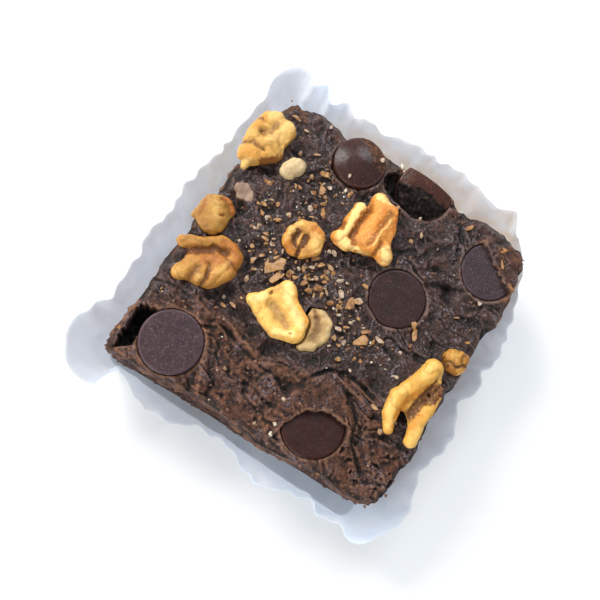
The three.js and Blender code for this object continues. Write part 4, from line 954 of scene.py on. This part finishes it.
def chip(name, facts, number):
    radius, rise, dome = facts["radius"], facts["rise"], facts["dome"]
    profile = chip_profile(radius, dome)
    angle = np.linspace(0, 2 * math.pi, CHIP_SIDES, endpoint=False)
    r, a = np.meshgrid(profile[:, 0], angle, indexing="ij")
    z = np.repeat(profile[:, 1][:, None], CHIP_SIDES, 1)
    r = r * (0.996 + 0.004 * noise(3 * np.cos(a) + 20 * number, 3 * np.sin(a), 71))
    x, y = r * np.cos(a), r * np.sin(a)
    face = step(z, -0.6, -0.05)
    z = z + face * (0.04 * layers(x / 2.4 + 30 * number, y / 2.4, 72, 3) - 0.05)
    # A ring along the rounded rim of the face, where the material paints a highlight
    rim = bell(r - (radius - 0.3), 0.22) * face
    fray = 0.6 * noise(x / 1.3 + number, y / 1.3, 73) + 0.4 * ripple(x, y, 0.6, 74)
    cover, broken = np.zeros(np.shape(x)), np.zeros(np.shape(x))
    if "crumb" in facts:
        cover = step(beyond(x, y, *facts["crumb"]) + fray, -0.2, 0.2) * face
        z = z + cover * (0.25 + 0.2 * fray)
    if "broken" in facts:
        over = beyond(x, y, *facts["broken"]) + fray
        broken = step(over, -0.2, 0.3) * face
        z = z - broken * (0.34 * np.clip(over, 0, 5) + 0.3 * fray)
    points = np.stack([x, y, z], -1).reshape(-1, 3)
    faces = quads_of_grid(len(profile), CHIP_SIDES, True)
    values = {"rim": rim.reshape(-1), "cover": cover.reshape(-1), "broken": broken.reshape(-1)}
    material = chocolate_material(name, facts["tone"], facts.get("polish", POLISH))
    made = add_mesh(name + "_chip", points, faces, material, values, name)
    work = bmesh.new()
    work.from_mesh(made.data)
    bmesh.ops.remove_doubles(work, verts=work.verts, dist=1e-7)
    towards, degrees = (math.radians(v) for v in facts.get("tilt", (0, 0)))
    turn = Matrix.Rotation(-degrees, 4, Vector((-math.sin(towards), math.cos(towards), 0)))
    move = Matrix.Translation(Vector((*facts["at"], TOP + rise)) * MM)
    bmesh.ops.transform(work, matrix=move @ turn, verts=work.verts)
    if "cover" in facts:
        direction = math.radians(facts["cover"][0])
        normal = Vector((math.cos(direction), math.sin(direction), 0))
        middle = (Vector((*facts["at"], TOP)) + normal * facts["cover"][1]) * MM
        whole = work.verts[:] + work.edges[:] + work.faces[:]
        cut = bmesh.ops.bisect_plane(work, geom=whole, plane_co=middle, plane_no=normal, clear_outer=True)
        edges = [e for e in cut["geom_cut"] if isinstance(e, bmesh.types.BMEdge)]
        bmesh.ops.holes_fill(work, edges=edges)
    write_back(work, made)
    made.data.update()


# Nuts

def skin_mesh(values, low, size):
    """The zero surface of a grid: a point in each crossed cell, a quad round each crossed edge."""
    shape = np.array(values.shape) - 1
    total = np.zeros((*shape, 3))
    count = np.zeros(shape)
    crossings = []
    for axis in range(3):
        a = np.take(values, range(shape[axis]), axis)
        b = np.take(values, range(1, shape[axis] + 1), axis)
        crossed = (a < 0) != (b < 0)
        t = np.where(crossed, a / np.where(crossed, a - b, 1), 0)
        crossings.append((a, crossed))
        first, second = [k for k in range(3) if k != axis]
        for p, q in np.ndindex(2, 2):
            part = [slice(None)] * 3
            part[first] = slice(p, p + shape[first])
            part[second] = slice(q, q + shape[second])
            c = crossed[tuple(part)]
            count += c
            total[..., axis] += t[tuple(part)]
            total[..., first] += c * p
            total[..., second] += c * q
    used = count > 0
    index = np.full(shape, -1)
    index[used] = np.arange(used.sum())
    points = np.array(low) + size * (np.argwhere(used) + total[used] / count[used][:, None])
    faces = []
    for axis, (a, crossed) in enumerate(crossings):
        first, second = (axis + 1) % 3, (axis + 2) % 3
        edges = np.argwhere(crossed)
        for side in (first, second):
            edges = edges[(edges[:, side] > 0) & (edges[:, side] < shape[side])]
        quad = []
        for p, q in ((0, 0), (1, 0), (1, 1), (0, 1)):
            cell = edges.copy()
            cell[:, first] -= p
            cell[:, second] -= q
            quad.append(index[tuple(cell.T)])
        quad = np.stack(quad, -1)
        outside = a[tuple(edges.T)] >= 0
        quad[outside] = quad[outside][:, ::-1]
        faces.append(quad)
    return points, np.concatenate(faces)


def marked(x, y, z, facts, kind):
    """Share of a kind of mark at each point, on the upper side of a nut."""
    total = np.zeros(np.shape(x + z))
    for width, *line in facts.get(kind, []):
        total = np.maximum(total, bell(distance_to_line(x, y, line), width))
    return total * step(z, -1.2, 0.2)


def frayed(x, y, number):
    """Places shifted a little, which makes the marks' lines uneven."""
    return (x + 0.35 * noise(x / 1.3 + 9 * number, y / 1.3, 85) + 0.15 * ripple(x, y, 0.5, 86),
            y + 0.35 * noise(x / 1.3 + 9 * number, y / 1.3, 87) + 0.15 * ripple(x, y, 0.5, 88))


def middle_of(facts):
    return np.array([*facts["at"], crust_at(*facts["at"]) + facts["rise"]])


def nut(name, facts, number):
    blobs = np.concatenate([np.reshape(lobe, (-1, 3)) for lobe in facts["lobes"]])
    widest = blobs[:, 2].max()
    up = widest * facts["flat"] + NUT_MARGIN
    low = [(blobs[:, k] - blobs[:, 2]).min() - NUT_MARGIN for k in (0, 1)] + [-up]
    high = [(blobs[:, k] + blobs[:, 2]).max() + NUT_MARGIN for k in (0, 1)] + [up]
    axes = [np.arange(a, b, NUT_STEP) for a, b in zip(low, high)]
    x, y, z = np.meshgrid(*axes, indexing="ij")

    def lumps(x, y, z, size, seed):
        return noise3(x / size + 40 * number, y / size, z / size, seed)

    d = nut_distance(x, y, z, facts)
    fx, fy = frayed(x[..., :1], y[..., :1], number)
    for (width, *line), depth in zip(facts.get("crease", []), facts.get("depths", [])):
        d = d + depth * bell(distance_to_line(fx, fy, line), width) * step(z, -0.8, 0.4)
    d = d - 0.06 * marked(fx, fy, z, facts, "vein")
    d = d + 0.12 * lumps(x, y, z, 2.2, 81) + 0.07 * lumps(x, y, z, 0.9, 82)
    d = d + 0.18 * bell(lumps(x, y, z, 2.4, 83), 0.22) + 0.04 * noise3(x / 0.45, y / 0.45, z / 0.45, 84)
    d = d - NUT_SWELL
    here = middle_of(facts)
    for other, other_facts in NUTS.items():
        if other == name:
            break
        ax, ay, az = here - middle_of(other_facts)
        if np.hypot(ax, ay) < 2 * NUT_REACH:
            d = np.maximum(d, NUT_APART - nut_distance(x + ax, y + ay, z + az, other_facts))
    points, faces = skin_mesh(d, low, NUT_STEP)
    px, py, pz = points.T
    fx, fy = frayed(px, py, number)
    values = {kind: marked(fx, fy, pz, facts, kind) for kind in NUT_KINDS}
    values["crease"] = np.maximum(values["crease"], 0.4 * bell(lumps(px, py, pz, 2.4, 83), 0.14))
    # painted shade on the lower side of the nut
    values["under"] = 0.6 * step(-pz, -0.2, 1.4)
    points = points + here
    points[:, 2] = np.minimum(points[:, 2], HIGHEST)
    add_mesh(name + "_nut", points, faces, nut_material(name, facts["tones"]), values, name)


# Flakes, seeds and crumbs

def flake_body(length, width, number, rings, around, thick):
    """A thin, curled flake with straight broken edges: rings of its upper face, then of its lower."""
    k = np.arange(FLAKE_CORNERS)
    corner = (k + 0.5 + 0.40 * hashed(k, number, 91)) / FLAKE_CORNERS * 2 * math.pi
    reach = 0.72 + 0.28 * hashed(k, number, 92)
    corners = np.column_stack([reach * np.cos(corner), reach * np.sin(corner)])
    angle = np.linspace(0, 2 * math.pi, around, endpoint=False)
    first = (np.searchsorted(corner, angle) - 1) % FLAKE_CORNERS
    a, b = corners[first], corners[(first + 1) % FLAKE_CORNERS]
    along = b - a
    cross = a[:, 0] * along[:, 1] - a[:, 1] * along[:, 0]
    edge = cross / (np.cos(angle) * along[:, 1] - np.sin(angle) * along[:, 0])
    edge = edge * (1 + 0.06 * hashed(np.arange(around), number, 94))
    curl = 0.8 * hashed(np.array([number]), 5, 6)[0]
    high, low = [], []
    for ring in range(rings + 1):
        r = ring / rings
        px, py = 0.5 * length * r * edge * np.cos(angle), 0.5 * width * r * edge * np.sin(angle)
        lift = curl * (py * py / width - px * px / length)
        lift = lift + 0.14 * noise(px / 0.6 + 7 * number, py / 0.6, 93)
        high.append(np.column_stack([px, py, lift + thick / 2]))
        low.append(np.column_stack([px, py, lift - thick / 2 * (1 - 0.4 * r)]))
    return np.concatenate(high + low[::-1])


def flake_faces(rings, around, **_):
    return quads_of_grid(2 * (rings + 1), around, True)


def placed(body, turns, place):
    """A bit turned about Z, X and Y, and moved to its place."""
    turn = Matrix.Identity(3)
    for angle, axis in zip(turns, "ZXY"):
        turn = turn @ Matrix.Rotation(angle, 3, axis)
    return body @ np.array(turn).T + np.array(place)


def add_bits(name, bodies, faces, material, node=None):
    """Loose bits in one mesh. bodies: the points and colour of each bit. faces: the faces of one bit."""
    count = len(bodies[0][0])
    points = np.concatenate([body for body, _ in bodies])
    pick = np.repeat([tone for _, tone in bodies], count)
    faces = np.concatenate([faces + k * count for k in range(len(bodies))])
    add_mesh(name, points, faces, material, {"pick": pick}, node)


def flakes():
    bodies = []
    for k, (x, y, length, tone) in enumerate(FLAKES):
        number = np.array([k])
        longer, wider = (1.05, 1) if k < ON_SOLID else (1.3, 1.25)
        width = length * (0.46 + 0.12 * hashed(number, 1, 6)[0]) * wider
        body = flake_body(length * longer, width * 1.15, k, **FLAKE)
        turns = [most * hashed(number, which, 6)[0] for most, which in ((math.pi, 4), (0.3, 3), (0.3, 2))]
        height = crust_at(x, y) + 0.5
        drop = CHIPS["drop_back"]
        across = math.hypot(x - drop["at"][0], y - drop["at"][1]) / drop["radius"]
        if across < 1:
            height = TOP + drop["rise"] + drop["dome"] * (1 - across**2) + 0.1
        bodies.append((placed(body, turns, (x, y, height)), tone))
    material = bits_material("flakes", HUSK_TONES, 0.5)
    add_bits("flakes", bodies, flake_faces(**FLAKE), material, "brownie")


def husk_bits(spots, draw):
    bodies = []
    for k, (x, y, z, length, tone) in enumerate(spots):
        body = flake_body(length, length * draw.uniform(0.4, 0.9), k + 100, **BIT)
        turns = draw.uniform(0, 6.3), draw.uniform(-0.7, 0.7), draw.uniform(-0.5, 0.5)
        bodies.append((placed(body, turns, (x, y, z)), tone))
    add_bits("husk_bits", bodies, flake_faces(**BIT), bits_material("husk", HUSK_TONES, 0.5))


def ball_mesh(subdivisions):
    work = bmesh.new()
    bmesh.ops.create_icosphere(work, subdivisions=subdivisions, radius=1.0)
    points = np.array([v.co[:] for v in work.verts])
    faces = np.array([[v.index for v in f.verts] for f in work.faces])
    work.free()
    return points, faces


def scatter(name, spots, material):
    """Loose lumps in one mesh. spots: x, y, z, length, width, thickness and colour."""
    ball, triangles = ball_mesh(2)
    bodies = []
    draw = np.random.default_rng(7)
    for k, (x, y, z, length, width, thick, tone) in enumerate(spots):
        lumps = 1 + 0.45 * noise3(ball[:, 0] * 2 + 5 * k, ball[:, 1] * 2, ball[:, 2] * 2, 95)
        corners = 1 + 0.25 * np.max(np.abs(ball), 1)
        body = ball * (lumps / corners)[:, None] * np.array([length, width, thick]) / 1.7
        turns = draw.uniform(0, 6.3), draw.uniform(-0.5, 0.5)
        bodies.append((placed(body, turns, (x, y, z)), tone))
    add_bits(name, bodies, triangles, material)


def free_spots(count, seed, region):
    """Seeded places on the bare crust, clear of chips and nuts, and the height there.

    region gives the chance of a place.
    """
    draw = np.random.default_rng(seed)
    tries = 40 * count
    x, y = draw.uniform(-32, 32, tries), draw.uniform(-33, 33, tries)
    keep = draw.uniform(0, 1, tries) < region(x, y)
    for facts in CHIPS.values():
        keep &= chip_edge(x, y, facts) > CLEAR
    for facts in NUTS.values():
        cx, cy = facts["at"]
        keep &= nut_distance(x - cx, y - cy, 0 * x - facts["rise"], facts) > CLEAR
    keep &= ~inside_shape(x, y, CLEFT)
    keep &= in_hollow(x, y, HOLLOW["margin"]) > 1
    x, y = x[keep][:count], y[keep][:count]
    return x, y, relief(x, y)[0], draw


def crumbs():
    def band(x, y):
        return 0.03 + 0.97 * bell(distance_to_line(x, y, BAND), 3.6)

    def everywhere(x, y):
        return 0.25 + 0.75 * np.maximum(brown_front(x, y), crumbly(x, y))

    x, y, height, draw = free_spots(380, 3, everywhere)
    size = draw.uniform(0.25, 0.8, len(x))
    tones = draw.uniform(0, 1, len(x))
    brown = zip(x, y, height, size, tones)
    spots = [(a, b, h + 0.1 * s, s, s * 0.8, s * 0.6, tone) for a, b, h, s, tone in brown]
    scatter("crumbs", spots, bits_material("crumbs", CRUMB_TONES, 0.75))

    x, y, height, draw = free_spots(230, 5, band)
    size = 0.6 + 2.0 * draw.uniform(0, 1, len(x)) ** 2
    tones = draw.uniform(0, 1, len(x))
    husk_bits(zip(x, y, height + 0.18, size, tones), draw)

    x, y, height, draw = free_spots(45, 8, band)
    size = draw.uniform(0.25, 0.6, len(x))
    small = enumerate(zip(x, y, height, size))
    spots = [(a, b, h + 0.1, s, s * 0.8, s * 0.7, (k % 5) / 5) for k, (a, b, h, s) in small]
    places = np.reshape(SEEDS, (-1, 2))
    height = relief(places[:, 0], places[:, 1])[0]
    large = enumerate(zip(places, height))
    spots += [(a, b, h + 0.2, 1.1, 0.75, 0.6, (k % 4) / 4) for k, ((a, b), h) in large]
    scatter("seeds", spots, bits_material("seeds", SEED_TONES, 0.5))


# Paper case

CASE_ARC = math.pi / 2 * CASE["corner"]
CASE_LENGTH = 4 * (CASE["half_x"] + CASE["half_y"] - 2 * CASE["corner"]) + 4 * CASE_ARC


def case_outline(distance):
    """A point of the base's outline, at a distance from the front left corner, and the outward way."""
    half_x, half_y, corner = CASE["half_x"], CASE["half_y"], CASE["corner"]
    rest = distance + CASE_ARC / 2
    side = 0
    while True:
        turn = (side % 4) * math.pi / 2
        along, out = (half_y, half_x) if side % 2 else (half_x, half_y)
        straight = 2 * (along - corner)
        forward = np.array([math.cos(turn), math.sin(turn)])
        outward = np.array([math.sin(turn), -math.cos(turn)])
        if rest < CASE_ARC:
            angle = turn - math.pi / 2 + rest / corner - math.pi / 2
            direction = np.array([math.cos(angle), math.sin(angle)])
            return forward * (corner - along) + outward * (out - corner) + direction * corner, direction
        rest -= CASE_ARC
        if rest < straight:
            return forward * (rest + corner - along) + outward * out, outward
        rest -= straight
        side += 1


def between(stations, distance):
    stations = pairs(stations)
    last = stations[-1]
    closed = [(last[0] - CASE_LENGTH, last[1]), *stations, (CASE_LENGTH + stations[0][0], stations[0][1])]
    k = next(m for m, (d, _) in enumerate(closed) if m > 0 and distance <= d)
    (a, va), (b, vb) = closed[k - 1], closed[k]
    return va + (vb - va) * float(step(np.array(distance), a, b))


def paper():
    distance = np.arange(PAPER_COLUMNS) / PAPER_COLUMNS * CASE_LENGTH
    outline_points = [case_outline(d) for d in distance]
    base = np.array([place for place, _ in outline_points])
    outward = np.array([way for _, way in outline_points])
    lean = np.array([between(RIM_LEAN, d) for d in distance])
    height = np.array([between(RIM_HEIGHT, d) for d in distance])
    height = height + 0.5 * noise(distance / 4, 0 * distance + 2, 9)
    first, last, pitch = PLEATS["from"], PLEATS["to"], PLEATS["pitch"]
    window = step(distance, first, first + pitch / 2)
    window = window * (1 - step(distance, last - pitch / 4, last + pitch / 4))
    lean = lean + window * PLEATS["size"] * np.cos(2 * math.pi * (distance - PLEATS["peak"]) / pitch)
    phase = 2 * math.pi * distance / CRIMP["pitch"] + 2 * noise(distance / 9, 0 * distance + 5, 8)
    lean = lean + CRIMP["size"] * np.sin(phase)
    rows = [np.column_stack([base, 0 * distance])]
    for row in range(PAPER_ROWS):
        up = row / (PAPER_ROWS - 1)
        out = CASE["bend"] * 0.5 + lean * up**FLARE_POWER
        z = CASE["bend"] + (height - CASE["bend"]) * up
        crinkle = 0.50 * (0.5 - np.abs(noise((distance + 0.6 * z) / 3.0, z / 9, 101)))
        crinkle = crinkle + 0.40 * (0.5 - np.abs(noise((distance - 0.8 * z) / 4.4 + 7, z / 7, 103)))
        crinkle = crinkle + 0.24 * noise(distance / 4.2, z / 5, 102)
        out = out + (crinkle - 0.58) * step(np.array(up), 0, 0.3)
        rows.append(np.column_stack([base + outward * out[:, None], z]))
    outer = np.stack(rows)
    around = np.roll(outer, -1, 1) - np.roll(outer, 1, 1)
    normal = np.cross(around, np.gradient(outer, axis=0))
    normal /= np.linalg.norm(normal, axis=-1, keepdims=True)
    inner = outer - normal * PAPER_THICKNESS
    inner[0, :, 2] = PAPER_THICKNESS
    middle = np.array([[0, 0, 0], [0, 0, PAPER_THICKNESS]])
    points = np.concatenate([outer[::-1].reshape(-1, 3), inner.reshape(-1, 3), middle])
    n = PAPER_COLUMNS
    loops = 2 * (PAPER_ROWS + 1)
    first = np.arange(n)
    second = (first + 1) % n
    below, above = PAPER_ROWS * n, (PAPER_ROWS + 1) * n
    quads = quads_of_grid(loops, n, True)
    walls = quads[quads[:, 0] // n != PAPER_ROWS]
    rim = np.stack([first, second, second + (loops - 1) * n, first + (loops - 1) * n], -1)
    caps = [np.stack([second + below, first + below, np.full(n, loops * n)], -1),
            np.stack([first + above, second + above, np.full(n, loops * n + 1)], -1)]
    polygons = list(walls) + list(rim) + list(caps[0]) + list(caps[1])
    px, py, pz = points.T
    # Painted warm shade low on the back walls near the brownie; painted grey shade on the front wall, the
    # left wall and low on the front of the right wall; a real fat stain on the left wall.
    back = step(py, 20, 34) * step(px, -34, -10)
    low = 1 - 0.7 * step(pz, 15, 26)
    left = step(-px, 28, 33) * bell(np.hypot(py - 16, (pz - 14) / 1.5), 9)
    shade = np.maximum(0.6 * step(-py, 30, 35) * bell(px + 12, 14), 0.75 * step(-px, 27, 33))
    shade = np.maximum(shade, step(px, 28, 34) * step(py, -34, -20) * (1 - step(pz, 12, 26)))
    values = {"painted_warm_shade": back * low, "oil": 0.6 * left, "shade": shade}
    made = add_mesh("paper", points, polygons, paper_material(), values, "paper_case")
    work = bmesh.new()
    work.from_mesh(made.data)
    write_back(work, made)


# Floor, light and camera

# The floor and the area lights, in metres: half the floor's side, then each light's place, size, power and
# colour. The lights face the point LIT.
FLOOR_HALF = 1.5
LIGHTS = {
    "window": ((-0.42, 0.10, 0.36), 0.26, 3.1, (1.0, 0.975, 0.93)),
    "sky_light": ((-0.05, 0.42, 0.40), 0.26, 1.6, (0.88, 0.94, 1.0)),
    "low_light": ((-0.08, -0.46, 0.12), 0.30, 1.5, (1.0, 0.99, 0.97)),
}
LIT = (0, 0, 0.015)
SKY = (0.93, 0.965, 1.0, 1)
SKY_STRENGTH = 0.66


def floor():
    m = Shader("floor")
    m.base = m.mix(m.grain(30, 2), colour(236, 236, 236), colour(243, 243, 242))
    mesh = bpy.data.meshes.new("floor")
    corners = [(x * FLOOR_HALF, y * FLOOR_HALF, 0) for x, y in ((-1, -1), (1, -1), (1, 1), (-1, 1))]
    mesh.from_pydata(corners, [], [(0, 1, 2, 3)])
    mesh.materials.append(m.finish(Roughness=0.8))
    add_object("floor", mesh)


def area_light(name, place, size, power, tint):
    data = bpy.data.lights.new(name, "AREA")
    data.size = size
    data.energy = power
    data.color = tint
    made = add_object(name, data)
    made.location = place
    made.rotation_euler = (Vector(LIT) - Vector(place)).to_track_quat("-Z", "Y").to_euler()


def light():
    world = bpy.data.worlds.new("sky")
    world.use_nodes = True
    background = world.node_tree.nodes["Background"]
    background.inputs["Color"].default_value = SKY
    background.inputs["Strength"].default_value = SKY_STRENGTH
    bpy.context.scene.world = world
    for name, facts in LIGHTS.items():
        area_light(name, *facts)


def camera():
    a, e, r = (math.radians(CAMERA[k]) for k in ("azimuth", "elevation", "roll"))
    back = Vector((math.sin(a) * math.cos(e), -math.cos(a) * math.cos(e), math.sin(e)))
    up = Vector((-math.sin(a) * math.sin(e), math.cos(a) * math.sin(e), math.cos(e)))
    right = up.cross(back)
    turned_right = right * math.cos(r) + up * math.sin(r)
    turned_up = up * math.cos(r) - right * math.sin(r)
    data = bpy.data.cameras.new("camera")
    data.sensor_width = SENSOR
    data.lens = SENSOR * CAMERA["focal"] / FRAME_PIXELS
    data.clip_start = 0.005
    data.clip_end = 10.0
    made = add_object("camera", data)
    made.rotation_mode = "QUATERNION"
    made.rotation_quaternion = Matrix((turned_right, turned_up, back)).transposed().to_quaternion()
    made.location = (Vector(CAMERA["target"]) + back * CAMERA["distance"]) * MM
    bpy.context.scene.camera = made


camera()
light()
floor()
brownie()
for number, (name, facts) in enumerate(CHIPS.items()):
    chip(name, facts, number)
for number, (name, facts) in enumerate(NUTS.items()):
    nut(name, facts, number)
flakes()
crumbs()
paper()
bpy.context.scene.view_settings.view_transform = "Standard"
